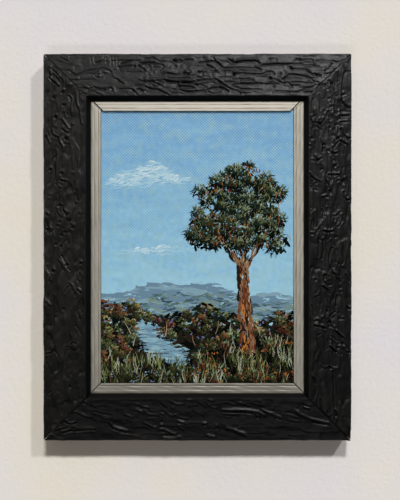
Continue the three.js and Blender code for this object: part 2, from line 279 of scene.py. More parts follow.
# How the paste was worked on each rail. A mark is its kind (g groove, r ridge, p pit, k knob), its
# depth or height, and the points that it runs through, in order.
gesso = {
    "top": {
        "seed": 11, "lanes": 70, "laneLength": (12, 36), "laneWidth": (2.4, 4.6), "turn": (-4, 5),
        "crown": (0.05, 0.22), "level": (-0.12, 0.16), "groove": (0.02, 0.16),
        "wave": 0.16, "pebble": 0.05, "lumps": 0.24, "crease": 0.14,
        "marks": """
    g.6 -81 12.5 -77 14.6 -74 13 -70 11.5 -66 11 -61 10 -57 11 -55.3 12.6; k.6 -76.5 16.8
    g.5 -65.5 15 -64.3 16.2 -61 16; r.4 -62.5 12 -62.2 13.5 -63 15.2; r.3 -59.5 12.3 -57.5 13
    k.6 -53.7 14.3; k.5 -52.4 15.8; r.7 -51 16.2 -49.5 17.4 -46.6 19.5; g.3 -55.3 3 -55.3 8
    g.3 -53.3 3 -53.2 8; g.3 -51.2 3 -51.3 8; k.5 -56.4 5.4; g.4 -58.5 3 -58.5 6.3
    g.5 -65.3 6.6 -62 5.5 -60 3.5 -59.5 1.5; r.4 -67.3 2.8 -66.6 6.3; g.4 -81.8 1.8 -82 3.6
    r.3 -88 1.5 -82 4.8; g.5 -75 23 -72 23 -68 25 -65 25.4; r.4 -74 25 -70 26.2
    g.5 -66 22.5 -61 24 -57 22.8 -55 22.8; r.5 -55 22 -53.2 23 -52.7 25.3; r.4 -65 25 -60 27; p.5 -59.5 24.2
    p.5 -54.9 24.5; g.6 -49 7 -46 6.3 -42 5 -39.5 3.5; g.5 -50 9.3 -46 8.7 -42 8.2; p.7 -40.4 8.9
    k.4 -39.4 7.8; g.5 -38 8 -36 9.6 -34 11.3; r.4 -36.5 7.5 -33.5 10 -32 11.7; r.4 -36.5 5.6 -30 5.2 -25 6
    g.5 -36.5 6.8 -30 6.9 -25 7.2 -22.5 8 -21.3 9; g.4 -34.5 4 -32 3.7 -29 2.8 -26.5 4.2
    r.3 -33 2.3 -31 2.3; r.4 -28 2 -24.5 4; r.4 -30.5 7.5 -29 9 -29.3 10; k.4 -33 13; k.4 -30 13.6
    k.4 -27 12.5; p.9 -14.6 4.8; g.6 -15.5 4.5 -13 5.6 -9 5.5; r.6 -13.5 3.8 -11.5 3.2 -10 3.7
    g.5 -8.5 4.8 -6 4.6 -3 4.5; r.4 -7 3 -5 3 -3 3.2; k.9 -9.2 9; k.7 -5.2 10; k.6 -4.2 11; k.6 -7.3 11.8
    k.7 -17 9.7; k.5 -19 9; k.5 -13.3 8; g.4 -21.5 8 -22.8 10.5; p.5 -14 8.8; r.5 -21 12 -17 12.5 -14 13
    g.4 -19 14 -16 13.8; g.5 -19 16.2 -15 16.6 -10 16.7 -8 16.3; p1 -8.2 13.5; p.9 -6 14; g.5 -6 14 -4 13
    r.5 -7.5 16 -5 15.5 -4 14; k.8 -33 16.5; r.6 -34 17 -30 17.3 -26 17 -21 16.8 -18 17.5 -13 18.3 -5 18.2
    g.8 -37 17.8 -34 18.9 -30 19 -24 18.9 -22 19.3; g.6 -20 18.7 -16 19 -12 19.2
    r.6 -28 18 -25.5 19.3 -22 20.8; g.5 -28 19.5 -24 21; g.4 -40 21.2 -33 21.8; p.6 -28 21.8; p.5 -26.5 21.8
    r.6 -33 21.3 -29 22.8 -24 23.6 -18.5 26.3; g.6 -33 22.4 -28 23.5 -24 24.7 -19 27.1
    g.4 -32 23.4 -25 25.5; r.8 -2 17.9 -5 18.3 -9 18.1 -10.9 19 -11 20.8 -9 20.9 -4 21.3 -1 22.7
    g.7 -9.3 19.5 -5 19.9 -2 20.5 0 21; p.9 -12 22.3; g.5 -50 24 -45 23.7 -42 24 -40.5 25
    r.6 -40 24 -37.5 26.5; g.4 -38.5 24 -37 23.8 -35.5 25; r.4 -36 23 -34 24 -33.8 26
    r.5 -10 23.8 -6 24.2 0 23.8; g.6 -16 24 -11 24.3 -8 25.4 -3 25.8 0 25.2 5 24.8
    g.7 1 6.2 4 5.9 8 5.4 11.5 5.7 14 7.5 15.5 8.8; r.6 11 2.5 12 4 14.5 6 16.5 8.2
    g.4 13 4.5 15 5.2 18.5 5.4; r.6 7 7 10 8; g.5 6.3 8 9 9.3 11 10; r.5 11.5 9.8 13.5 12 14.5 12.5
    r.4 3 12 6 10.5 7 9.5; p.7 0.9 12.3; g.6 0.8 12.3 4 12.8 8 12.3 12 12.1 13.5 12.6; g.5 0 16 3 16.3
    r.5 0 14.6 2.5 15.3; r.4 4.3 13.5 4.8 16
    g.8 0 18.5 3 18 8 17.5 12 17.5 14.5 19 18 21.5 22 24 25.5 24.8 27.5 27; r.6 12 16.6 15 18.5 20 21.8
    r.5 11.5 19 16 22.3; g.5 0 21 3 21.2 6 22.8; r.5 11 22 17 22.2 20 24
    g.8 6 24.3 9 23.3 12 22.8 15 22.9 18 24 19.5 25.4; g.5 7 25.5 10 26.7 12 26.8 15 25.7; p.6 22.5 5
    p.7 25 5.8; g.9 20.5 4.3 22.5 5.7 25 6.3 27.5 5.6 32 5.4 38 5.4 40 6.8; k.5 26.6 4.3
    r.6 27.5 4 33 4.1 37.5 4 39.6 5.5; r.6 37.5 8.3 39 9 41 10.2
    g.6 16.5 10 20 9.8 27 9.5 34 9.8 38 10 40.5 11; g.4 18 11.6 22 12.3; g.5 17.4 12 17.3 16
    r.5 25 11.3 24 12.8; p.8 23.4 14.2
    g.9 22.8 12.8 23.5 14.2 24.8 13.6 28 13.2 33 13.7 38 14.1 41 14 43.5 12.8 46 12.3 48.5 12.8 49.3 14
    g.6 22.5 17.3 28 17.3 33 17.5 35.5 18.2 36 18.8; r.5 28 19.1 34 19.2; r.5 36 16.5 37 18.5 36.5 20
    g.7 22.5 20.8 28 20.4 35 20.6 38 20.3 41 20; g.5 27.5 23.8 32 23.8 36 24 41 24.2; r.4 28 25.2 34 25.5
    p1 46.7 16.6; g.8 46.5 16.8 50 17.5 53 19.3 55.5 19.7 58 19.5 60.5 22.3; g.5 46 3.8 50 3.5 51 4.6
    g.6 41 8.2 46 7.8 50 7.5 55 7.6 60 7.2 66 7.2 69.5 8 73 7.8 75 8.5 77.5 8.6 79.3 10; p.9 60.3 10.3
    g.7 59.3 9 60.5 10.3 65 10.8 69 11.2 71 13 74 14.5; r.5 62 8.6 67 8.8 70 9.2 72 11 74 13
    g.8 54.5 17 57 15.5 58.8 14.2 62 14.2 66 15 70 16.2 72.5 17.3 74.5 18.8 77 19.3
    g.6 60 19.5 64 19.3 69 19.8 73 20 74.5 18.6; r.4 58 13 65 13.2 70 14.2 74 16
    g.6 50 24.8 55 25.3 62 25.6 66 24.8 69 23.5 72 23.2 74 23.7; r.4 66 21.8 74 21.3; r.4 69 24.8 73 24.2
    p.5 66 4.2; g.7 63.5 4 68 4.3 72 4 74 4.8 74.3 6.5; k.6 75 6.9; g.5 53.5 13 53.4 14.5 52 16 50.5 17
    p.9 76.3 14.2; g.8 75 13.5 76.5 14.8 79 15.2; r.5 77.5 13 79 13.5; p.5 49 22; r.4 42 6.5 50 6 58 6
    g.6 81.5 11.5 84 9.5 86 7; g.6 87 5 89 6 90 5.8 92.5 5.3 94 4.3; r.4 82 13 85 12""",
    },
    "bottom": {
        "seed": 23, "lanes": 40, "laneLength": (8, 22), "laneWidth": (2.6, 5), "turn": (-26, -4),
        "crown": (0.0, 0.1), "level": (-0.1, 0.1), "groove": (0.0, 0.08),
        "wave": 0.16, "pebble": 0.05, "lumps": 0.24, "crease": 0.16,
        "marks": """
    r.7 -95 5 -93 4 -91.5 3; r.6 -91 2.6 -89 2 -86 1.4; g.6 -96.5 7 -95 4.5 -92.5 2.5
    r.8 -85 14 -83.5 14 -82.5 12.8 -80.5 12.2 -78.5 13; g.5 -85 12.3 -83 11.3 -79 11.5
    r.4 -91 7.5 -87 9 -85 9.5; r.5 -87.5 6.5 -84 7.3 -81 8.3; g.5 -86 5 -83 6 -80 6.5
    r.6 -79.5 10 -77 9 -73 9 -69 9.3 -65.5 8.7; g.6 -78 6.5 -71 7 -68 7.6 -66 7
    r.7 -77 19.5 -74.5 18.5 -71 16.7 -68 16; r.7 -73 27 -71.5 26.3 -70.5 25.8; p.5 -72.5 25
    r.5 -67 24 -65 23; g.4 -82.5 20.5 -78 20.5; g.5 -66 19.5 -60 17.8 -55 17; r.4 -61 15.8 -56 15.2
    r1 -55.3 11.5 -54 10 -52 9.3 -48.5 8.3 -45 7.2; g.7 -54 8 -50 6.7 -45 5.7
    r.6 -50 5 -45 4.3 -42 4 -38 3.5 -35 2.5 -32.5 2.3; r.6 -46 17.8 -44.5 17.2 -42.5 16.3 -41.3 16
    r.6 -39.5 24.8 -38 24.5 -35.5 23; r.6 -34.5 23.3 -32.5 22.8 -31 22; r.6 -38.5 20.8 -36 20 -34.8 19
    r.8 -33 19.5 -31.5 18.5 -30 17.8 -28 17.8 -25.5 17.6; r.7 -34 12.5 -31.5 11.3 -29 10 -26 9
    k.8 -22.7 11.1; p.5 -22.8 12.9; p.4 -22.7 9.6; r1 -23.5 8.3 -21 8 -19 7 -17 5.8 -14 5
    g.6 -22 4 -18 3.5 -14 3.8; k.6 -21 1.6; r.7 -19 2.2 -14 2.4 -12 3 -10.5 2.7 -9 1.5
    r.7 -17.5 26.8 -15.5 26 -13.5 24.8 -9 24.8; r.7 -7.5 28 -5.5 27.5 -4 27.2; r.5 -22 25 -19.5 22.8
    k.4 -15.5 22; r.5 -21.5 20.7 -18.5 18.5 -16 16.5; r.4 -23.5 18.5 -22 18.3
    r.6 -13.8 17.5 -11.5 16 -8.5 15.2 -6 15; r.7 -12.3 13.8 -10 13 -8.7 12.8; g.5 -12 11.8 -9 11.5
    r.4 -11.5 9.5 -9 7.3; r.4 -5 23.5 0 24; r.5 -2 20.5 0 19 3.5 17.5; r.6 5 29 7 28 10 26.7
    r.5 1 26.3 4 24 5.5 22.5; r.5 7 24 9 22.7 10.5 22.3 13 21.8; r.3 7 24 12 24.7 17 25.5; r.8 4 12.1 5.5 12
    p.4 4.5 10.5; k.8 12.4 10.8; p.7 12.3 8.6; r.9 7 4.3 9 3.6 11.5 3.2
    r1.1 16 21 19 20.9 25 20.9 31 20.7 35 20.2 38 19.7 41 18.8 43.5 17.5
    g.6 17 19.3 24 19.4 28 18.6 31 18.5 35 17.6; r.5 18.5 18.2 21 18.2 26 17.5; g.4 18 17 20 16.6 24 16.2
    r.5 18 25.7 20 25.5 22.5 24.4 25.5 23.8; r.5 27.5 25.5 30 24.3 34 23.5; p.4 27 26.5; r.5 30 28 32.5 28
    r.5 37.5 18 39 17; p.5 38.5 15.6; r1 41.5 21 44 19.8 46 19 48 18.5 51 17 53.5 16; g.5 50 15.5 53.5 14
    r1.1 19.3 9 21 8.5 24 7.7 27 6.5 30 5.5 32 4 33 2.8; g.6 19 7.5 23 6.6 27 4.8 31 2.3; k.4 27 8.7
    g.3 44.2 27 44.3 22.5; g.3 45.7 27 45.8 22.5; g.3 47.3 27 47.3 22.5; k.5 48 22; k.5 39.5 26.8
    r.5 54 18 58 17.8 61 17 64 15.8; r.5 58.5 14.2 61 13.5 65.5 13.3; k.6 62.8 20.6; p.4 64 21.4
    r1.1 64 19.5 66 18 69 16.7 72 15.3 76 14.2 79 13.4 84 12.5; g.6 74 12 80 11 84 11
    r.6 68.8 25 70 24.3 73 24; r.7 68.5 22.5 71 21.8; k.5 89 7; r.4 68.5 7 72 6.5 80 6.5; r.4 59 4.2 64 4.2""",
    },
    "left": {
        "seed": 37, "lanes": 46, "laneLength": (18, 44), "laneWidth": (2.6, 5), "turn": (-4, 4),
        "crown": (0.0, 0.1), "level": (-0.08, 0.08), "groove": (0.0, 0.08),
        "wave": 0.1, "pebble": 0.05, "lumps": 0.3, "crease": 0.26,
        "marks": """
    k.6 115.8 4.8; r.8 113 5 111 5.8; p.6 110.5 4.4; k.5 109 5; r.7 108 6 106 8.8 104 10.5
    g.6 108.5 4.3 106 7 104.5 8.7; r.4 114.5 7 112 9.5 109 12; r.4 112.5 6.5 108.5 10.5
    r.6 108 13.3 106 14 103 13.7; k.7 101 13.7; p.8 98.8 12.8; k1 103.7 17.7; k.7 98 7.7; p.5 95.5 7
    r.6 97.5 17.5 96 19 94 19.3 90 19 85 18.7; r.7 98 22.3 92 22.7 89 24 87 24.7 83 25 79 25.5; k.5 95 25.5
    k.4 93.5 26; r.3 95 3 92 3.2; r.5 91 10.5 88 10 85.5 9; k.7 84.9 8.9; p.8 83 8.3; p.5 90.8 13.3
    k.4 92.5 14.5; k.5 87 14; r.9 82 13 80 14.5 78 16 76 17.5; g.5 81 13 77 15.6; k.7 79 19.3
    g.4 86 15.5 84 16; r.4 85 6.5 78 6.5; r.8 76.5 13.5 75.5 14.7 74.3 16.6; r.6 76 6.3 73 7 71.5 9 71 10
    g.4 71 8 70.3 10.5; r.6 72.5 2.5 70 3.5 67 4.8; k.8 71.3 15.8; p.9 69 15.4; r.4 67.5 14.3 66.8 16.5
    r.9 69.5 11.3 68 11.5 66 12.7 64.5 13.5 61.5 13.7; r.4 59 13.4 52 13; k.7 48.7 12.8; p.7 47 12.2
    r.4 62 9.5 57 9.4 51 8.8 45 9.2 42 9.7; r.4 60 4.8 55 4.8 51.5 4.8; k.7 51 5; p.5 49.5 4.8
    r.4 58 17.2 51 16.8 45 17.3; r.4 63 19.8 57 19.9 50 20; k.5 47.5 20.1; r.3 56 23.3 51 23.3
    r.5 44 12 43.3 14 42.8 15.5; g.4 42.3 12 42 15; g.4 40.7 8.3 39 9.5; r.5 39.5 10.3 38.5 12
    r.6 41 22.5 38.5 22 36.5 22.3; g.5 37 22.8 33 22 30 22.3; k.5 34 5; k.4 31.5 4.7; r.4 34 11.5 28 12
    p.7 26.5 11; r.8 24.5 1 23 2.5 21.5 4; p.5 20.5 2.5; r.8 24.2 14.4 22.5 16.4
    g.4 26.5 12.5 22 14 20 15.5 21.5 17.3; r.4 25 9.5 22 10.5 20 12.3; p.5 16 11; p.5 13.5 10; k.6 14.5 20.6
    p.6 12.3 19.6; k.4 15.5 18.5; k.5 22.5 24.3; r.8 14 4.4 11.8 5.7; p.9 11 3; p.7 9.4 3.9; r.4 9.3 7.3 6 8
    p.5 7.5 11.8; p.5 9.5 14.3; p.6 1.7 8.5; g.4 1 11.5 -2 12.7
    g.6 -5.5 12.5 -8 13.7 -11 15.7 -13 16 -15 17.8; p.7 -11.5 15.8; r.6 -8 11 -10 12.7 -14 14.7; k.7 -9 25.3
    p.4 -10.5 24.6; k.4 -11.2 3.3; k.8 -13.9 7.3; p.6 -15.6 6.8; r.9 -12.5 1 -14.5 2 -17 3.7 -21 5.2
    r.3 -15.3 24 -18 23 -21 24; r.3 -15.3 24.4 -18 25.4 -21 24.6; r.6 -22.5 18 -24 19.6
    r.5 -22.5 22.8 -24.5 23.5; r.7 -24.5 19.8 -27.8 21.3; g.5 -29.5 21 -31 21; r.8 -26.5 24 -28 25
    g.5 -27.5 23.2 -29.5 24.7; g.4 -25 17.5 -27 15.5 -29 14.5; r1 -33 1 -34 2 -35.3 3.7 -37 4.8
    p.6 -39.7 13.5; g.4 -33 25.5 -42 25.8; r.5 -41 24 -45 25; g.4 -31 7 -48 7 -56 6.7 -63 6.2
    g.7 -66 7.5 -68 5.5 -68.5 2 -68.5 -1; g.5 -67 8 -69 9.7 -72 11; g.4 -62.5 18 -61 20 -62 22
    g.3 -64 15 -64 17.5; g.3 -74 2 -78 4.5 -82 5; g.3 -50 21.5 -52 23; p.5 -89.3 17.7; g.3 -92 6 -94 4
    g.3 -75 12 -90 11.6""",
    },
    "right": {
        "seed": 47, "lanes": 50, "laneLength": (14, 34), "laneWidth": (2.6, 6), "turn": (-6, 6),
        "crown": (0.0, 0.16), "level": (-0.12, 0.12), "groove": (0.0, 0.12),
        "wave": 0.14, "pebble": 0.09, "lumps": 0.34, "crease": 0.3,
        "marks": """
    g.9 106.5 15 104.3 13.3 100 12 95 10.7 92 11 88 11.3 85 10.5; g.5 99 10.4 94 9.4 88 9.4
    g.4 112 9 106 8.8; p.6 104.5 13.4; g.9 95 6.9 93 6.3 91 5 90 3.5 89 1.5 88.8 -2
    r.6 94.3 5.2 92 3.5 91.3 1.5; g.4 98 7 97.5 5.5 98.3 4; k.5 99.5 5.5; g.5 113 2.8 112.5 1 112.5 -2
    g.4 88 7 87 6.3 87.3 5.3; r.5 85.3 8 85.5 5 86 2; g.5 84.3 7.5 84 4.5 84.3 1; r.4 81.3 7.5 81.3 3
    g.4 80.5 6 80.5 2; g.9 87 15.5 84 16.8 81 18.5 79.3 19.8 78.5 20.8 79.3 22 79.6 24.5; p.8 78.7 20.8
    k.6 82 21.5; r.5 78 22.5 76 20; g.6 83.5 28.5 81.5 27 78.5 25.5 76 25; k.6 84 26.4
    r.6 81.5 25.5 79.5 25; p.6 83.8 24.5; g.5 94.5 25.5 89 25.8 85 25; g.4 97 21.5 92 21 88 20.5
    p.4 94.9 15; p.5 90 13.7; p.4 87 18.3; p.4 83.5 15.3; k.5 91 14; k.6 85.7 13.8; k.5 80.5 14; k.5 78 14.8
    p.5 78.5 10; k.3 105 17; k.3 103.2 15.5; k.3 104.5 19.5; k.3 101.5 18; p.4 102.8 17.2; p.4 103.5 19
    p.3 101 16; g.9 76 7 73 6 71 4.2 69.8 2.5 69.5 -2; r.6 69.5 7 68 4.5 67 3; k.6 66.8 3; k.6 71.5 2.4
    k.8 71.5 8.8; p.8 69.6 9.2; g.5 68 8.5 66 10 64 11.5 63.3 12.8; k.5 64.9 12.5; g.5 68 8 67.5 6 66.3 4.3
    p1 65.3 18.4; p1 63.2 18.4; p.7 61.5 18.7; r.5 69 19 67 18.5; k.9 63.3 15.5; p.5 61.4 15.9
    r.6 62 13.5 61.2 11.5 61.3 10; g.5 60.5 13 59.7 10.5; k.4 58.3 13.8; k.4 57 12.3; k.7 53.8 11
    p.6 52.1 10.8; k.5 52 9; r.7 59 23.5 57 22; r.6 57 22 57.6 20.6; p.8 55 22.4; r.4 56.5 26 56.3 24.5
    k.5 71 28.3; p.5 69.3 26.3; r.6 66 28.3 65.6 27; p.5 64.5 28; g.4 60 16 50 15.6 45 17.3 40 17; p.4 52 20
    p.4 50 19.5; r.6 48 27.3 45.5 25.5 43.5 22.5 42.5 20.5; g.6 47 28.2 44.3 25.7; r.4 46.5 28.6 43 26.3
    g.5 46 15.5 45.8 12 46.3 9.5; p.4 45.5 8.7; r.4 47.5 15 47.5 8.5; r.8 43 15.5 41 14.5 38.7 13.7
    r.6 42.3 12.6 40 13.2; p1.1 36 13.9; p.9 34.6 13.6; r.6 50 5 47 5.5; k.8 45 4.7; p.9 42.6 5.6
    p.7 41.3 5.5; g.4 43 8 42 9.7; p.4 41 23.3; g.4 37 25 36.3 23; r.7 33 18.3 33.6 16.3
    g.7 32 19 30.5 17.5 29 16.5 27 16.7; k.6 33.5 3.8; r.6 32 2 31.2 3.3; g.8 35.5 5 32 5 30.3 3 30 0
    g.4 34 27.5 30 27 25 27; k.6 23 24.5; g.5 24 19.5 22 18.5; g.4 20.5 19 19.8 17.5
    g.5 25 14 20 13.5 15 14; r.4 23.5 8.5 21.5 10 21 11.5; g.6 20.5 6 17 6 14.5 8 13 9
    r.4 18 7.5 15 8 14 9.5; g.4 18 11.5 15 12 13.5 11; k.4 16 11; g.6 21 25.5 17 24.5 12.5 24.5
    r.3 18 27 15 27; r.4 15 20.8 12 22.5 10 24; g.4 14 19.8 11.5 21.5; r.8 11.5 18 10.9 15 11.3 12.5
    g.6 10.2 18.5 9.7 15.5 9.6 14.5; r.4 9.7 27 9.3 25.5; p.5 8.4 26.3; g.4 11.5 11 9 10.5 6.5 10
    p.5 6.5 10.2; k.6 5 14; r.3 8 15 5.5 13.8; p.6 2 6.3; g.6 5 18.8 0 18.5 -2 18.2 -5 19 -7.5 19.3
    r.3 5 20.1 0 20.1 -6 20.5; g.6 3 21.8 -1 21.7 -6 21.9
    g.8 -0.5 12.8 -3 13.8 -6 14.6 -10 14.8 -12 14.5 -14 13.8 -16 12.5 -18 11.5 -20 9.5 -22.5 7.3
    g.7 1 5.9 -5 5.3 -9 5.3 -11 6.5; r.4 0 7.5 -6 7.5 -10.5 7.3; g.4 -1 9.8 -5 9.5 -10 10.3
    r.7 -15.7 12 -17 9.5; r.5 -18 11 -19.5 9; k.9 -16.3 17.5; p1 -18.3 18; p.7 -20 18; k.5 -20.2 14.8
    k.5 -19.8 25; p.4 -20.8 23.5; g.6 -21 19 -23 17 -24.4 15.5 -24.2 13.3; r.6 -24 19 -25.5 17 -26.6 15.7
    g.7 -25 19 -27.5 16 -30 14.5; g.4 -15 7.5 -18 7; g.5 -17.5 4 -21 2.5 -22.5 0.5
    g.6 -31 9.5 -35 10 -38 10.5; g.4 -31.5 15.3 -36 15.3; p.6 -41 16.2; g.6 -41 16.2 -44 17 -46 19
    k.7 -44.3 19.5; p.4 -26 7.5; p.4 -28.6 7; g.7 -38 3.3 -39.5 2 -40 -1; r.5 -38 2 -39 0.5
    g.5 -41.5 11 -42.7 12.5 -44.5 14; p.5 -42 8.5; p.6 -45.8 8.5; g.5 -45.8 8.5 -46.2 5; k.4 -44.8 6
    r.5 -46 24.5 -45.2 22.5 -46.5 21; g.5 -47.5 24.5 -47 22.5; r.6 -49 24 -49.5 22
    g.7 -50 24.5 -50.8 21 -51.5 18.5 -52.2 17; r.8 -49.7 19.5 -50.3 18 -51.3 17.3; p1 -48.3 14.8
    p.7 -50.5 14.5; g.7 -47 14.5 -50 14 -51.5 12.5; k.6 -50.5 11.3; r.7 -53 10 -55 7.8 -57.5 5
    g.7 -54 10.5 -56 8.5 -58 6; g.5 -57 13.5 -58.5 11.5 -60 9.5; r.4 -58 14 -61 10; k.4 -61 13.5
    r.7 -62.7 13.8 -64 12 -66 10.3; g.8 -63.7 14 -65.7 12.5 -67.5 10; p.8 -62 5.7
    r.5 -63.3 9 -63 7.3 -64.5 6.2; p.5 -64.4 8.8; g.6 -64.5 5.5 -66.5 4.5 -67.7 2.5 -67.8 0; k.6 -66.5 3.3
    g.4 -68.5 9 -68.8 6.5; g.5 -57 19 -60 18 -65 17.8 -66.5 17.5; r.3 -66.5 17 -66 15
    r.5 -68 22.5 -70 22.8 -72 23.3; g.5 -70 21.5 -74 21; g.5 -53.5 23.5 -56.5 23 -55.5 20.5
    g.4 -37 26.5 -39 25.2 -41 24.5; r.4 -38 27.5 -42 26; g.4 -35 20.3 -40 20.8
    r.4 -31 24.5 -30 22.5 -28 21.5; g.7 -76.5 15 -77.5 13.5 -78 12.5; p.5 -77.5 14
    r.5 -77 11.5 -77.3 9.5 -76 9; r.4 -76 18.5 -76.7 17 -76 15.5; k.6 -83 7.7; g.5 -85 20.5 -87 20.3
    g.6 -79 12.5 -84 12 -88 11.7 -93 11.8 -97 11.7 -103 11.5; g.6 -97 20.6 -100 20.5 -104 19.8 -106 19
    g.6 -103.5 23.5 -106 21 -108.3 17.5; r.4 -81.5 25.3 -84 23.8 -87 22.5 -92 22.3 -97 23.5
    g.4 -83 25.3 -87 23.8; r.4 -98 19 -104 18.5 -107 16.5 -108 15 -107 13.3 -104 12; r.6 -103.5 10.5 -106 9
    p.7 -108 10.2; g.5 -108 10.5 -111 11.7; g.4 -109 6 -108.6 4.5 -110 3; k.6 -117.5 5.5""",
    },
}


def gessoMap(name, length, shade):
    style = gesso[name]
    rng = np.random.default_rng(style["seed"])
    half = length / 2
    shape = (int(length / relief["cell"]) + 2, int((relief["vHigh"] - relief["vLow"]) / relief["cell"]) + 2)
    field = softNoise(rng, shape, 16, 5) * style["wave"] + softNoise(rng, shape, 6, 2.2) * style["wave"] * 0.6
    for _ in range(style["lanes"]):
        x, v = rng.uniform(-half, half), rng.uniform(*relief["laneV"])
        reach, turn = rng.uniform(*style["laneLength"]) / 2, radians(rng.uniform(*style["turn"]))
        dx, dv = reach * cos(turn), reach * sin(turn)
        bow = rng.uniform(-relief["laneBow"], relief["laneBow"])
        layLane(field, half, {
            "points": (x - dx, v - dv, x, v + bow, x + dx, v + dv), "width": rng.uniform(*style["laneWidth"]),
            "crown": rng.uniform(*style["crown"]), "level": rng.uniform(*style["level"]),
            "tilt": rng.uniform(-relief["laneTilt"], relief["laneTilt"]),
            "groove": rng.uniform(*style["groove"])})
    # creases and low steps where one long stroke of paste lies over the next
    fold = softNoise(rng, shape, *relief["folds"][0]) + 0.4 * softNoise(rng, shape, *relief["folds"][1])
    off, wide = relief["foldRise"]
    step, rise = np.tanh(fold / relief["foldStep"]), np.exp(-((fold - off) / wide) ** 2)
    field += style["crease"] * (0.6 * step - np.exp(-(fold / relief["foldWidth"]) ** 2) + 0.6 * rise)
    kinds = {"g": "groove", "r": "ridge", "p": "pit", "k": "knob"}
    for mark in style["marks"].replace("\n", ";").split(";"):
        words = mark.split()
        if words:
            kind, size = kinds[words[0][0]], float(words[0][1:])
            workMark(field, half, shade, kind, size, [float(w) for w in words[1:]])
    patches = np.clip(softNoise(rng, shape, 22, 12) * 1.6 - 0.3, 0, 1)
    field += softNoise(rng, shape, 1.8, 1.4) * (style["pebble"] * (0.5 + 1.5 * patches))
    field += (softNoise(rng, shape, 11, 4.2) + 0.6 * softNoise(rng, shape, 4.4, 2.4)) * style["lumps"]
    return blurred(field, 1)


rail = {
    "grid": 0.33,
    # places inward from the outer edge, and heights forward from the back
    "backEdge": 1.5, "undercut": 1.2, "undercutTop": 0.35, "sideIn": 0.15, "sideTop": 11.2, "sideBend": 13.4,
    "faceStart": 1.2, "outerEdge": 13.75, "faceEnd": 26.8, "crest": 19.0, "shoulder": (28.0, 19.45),
    "bevelStart": (28.7, 18.8), "bevelEnd": (30.7, 15.5), "bevelFoot": 15.4, "face": 30.8,
    "lipEdge": 15.2, "lipBack": 13.6, "rabbet": 25.0,
    "deepest": 19.6, "stain": 6.0,
    # half the width of each mitre's open line, by corner
    "mitre": {"topleft": 0.2, "topright": 0.08, "bottomright": 0.18, "bottomleft": 0.26},
}
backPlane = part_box("rail_top")[1].y / mm      # the moulding's flat back, forward of the wall
outerHalf = {"x": cadBox[1].x / mm, "z": (cadBox[1].z - cadBox[0].z) / 2 / mm}
middleZ = frameMiddle.z / mm

# along, inward, the axes of its half length and of its outer edge's place, corners at its two ends
sides = {
    "top": (Vector((1, 0, 0)), Vector((0, 0, -1)), "x", "z", ("topleft", "topright")),
    "bottom": (Vector((1, 0, 0)), Vector((0, 0, 1)), "x", "z", ("bottomleft", "bottomright")),
    "left": (Vector((0, 0, 1)), Vector((1, 0, 0)), "z", "x", ("bottomleft", "topleft")),
    "right": (Vector((0, 0, 1)), Vector((-1, 0, 0)), "z", "x", ("bottomright", "topright")),
}


def straight(a, b, steps):
    return [(a[0] + (b[0] - a[0]) * i / steps, a[1] + (b[1] - a[1]) * i / steps) for i in range(steps)]


def bend(a, control, b, steps):
    points = []
    for i in range(steps):
        t = i / steps
        near, middle, far = (1 - t) ** 2, 2 * t * (1 - t), t * t
        points.append(tuple(near * a[k] + middle * control[k] + far * b[k] for k in (0, 1)))
    return points


# Joins runs of (points, first value, last value, material) into an outline with a value and a
# material for each point
def joinRuns(runs):
    points, values, kinds = [], [], []
    for run, first, last, kind in runs:
        points += run
        values += list(np.linspace(first, last, len(run)))
        kinds += [kind] * len(run)
    return np.array(points), np.array(values), kinds


def bilinear(field, x, v, half):
    i = np.clip((x + half) / relief["cell"], 0, field.shape[0] - 1.001)
    j = np.clip((v - relief["vLow"]) / relief["cell"], 0, field.shape[1] - 1.001)
    i0, j0 = i.astype(int), j.astype(int)
    a, b = i - i0, j - j0
    return ((field[i0, j0] * (1 - a) + field[i0 + 1, j0] * a) * (1 - b)
            + (field[i0, j0 + 1] * (1 - a) + field[i0 + 1, j0 + 1] * a) * b)


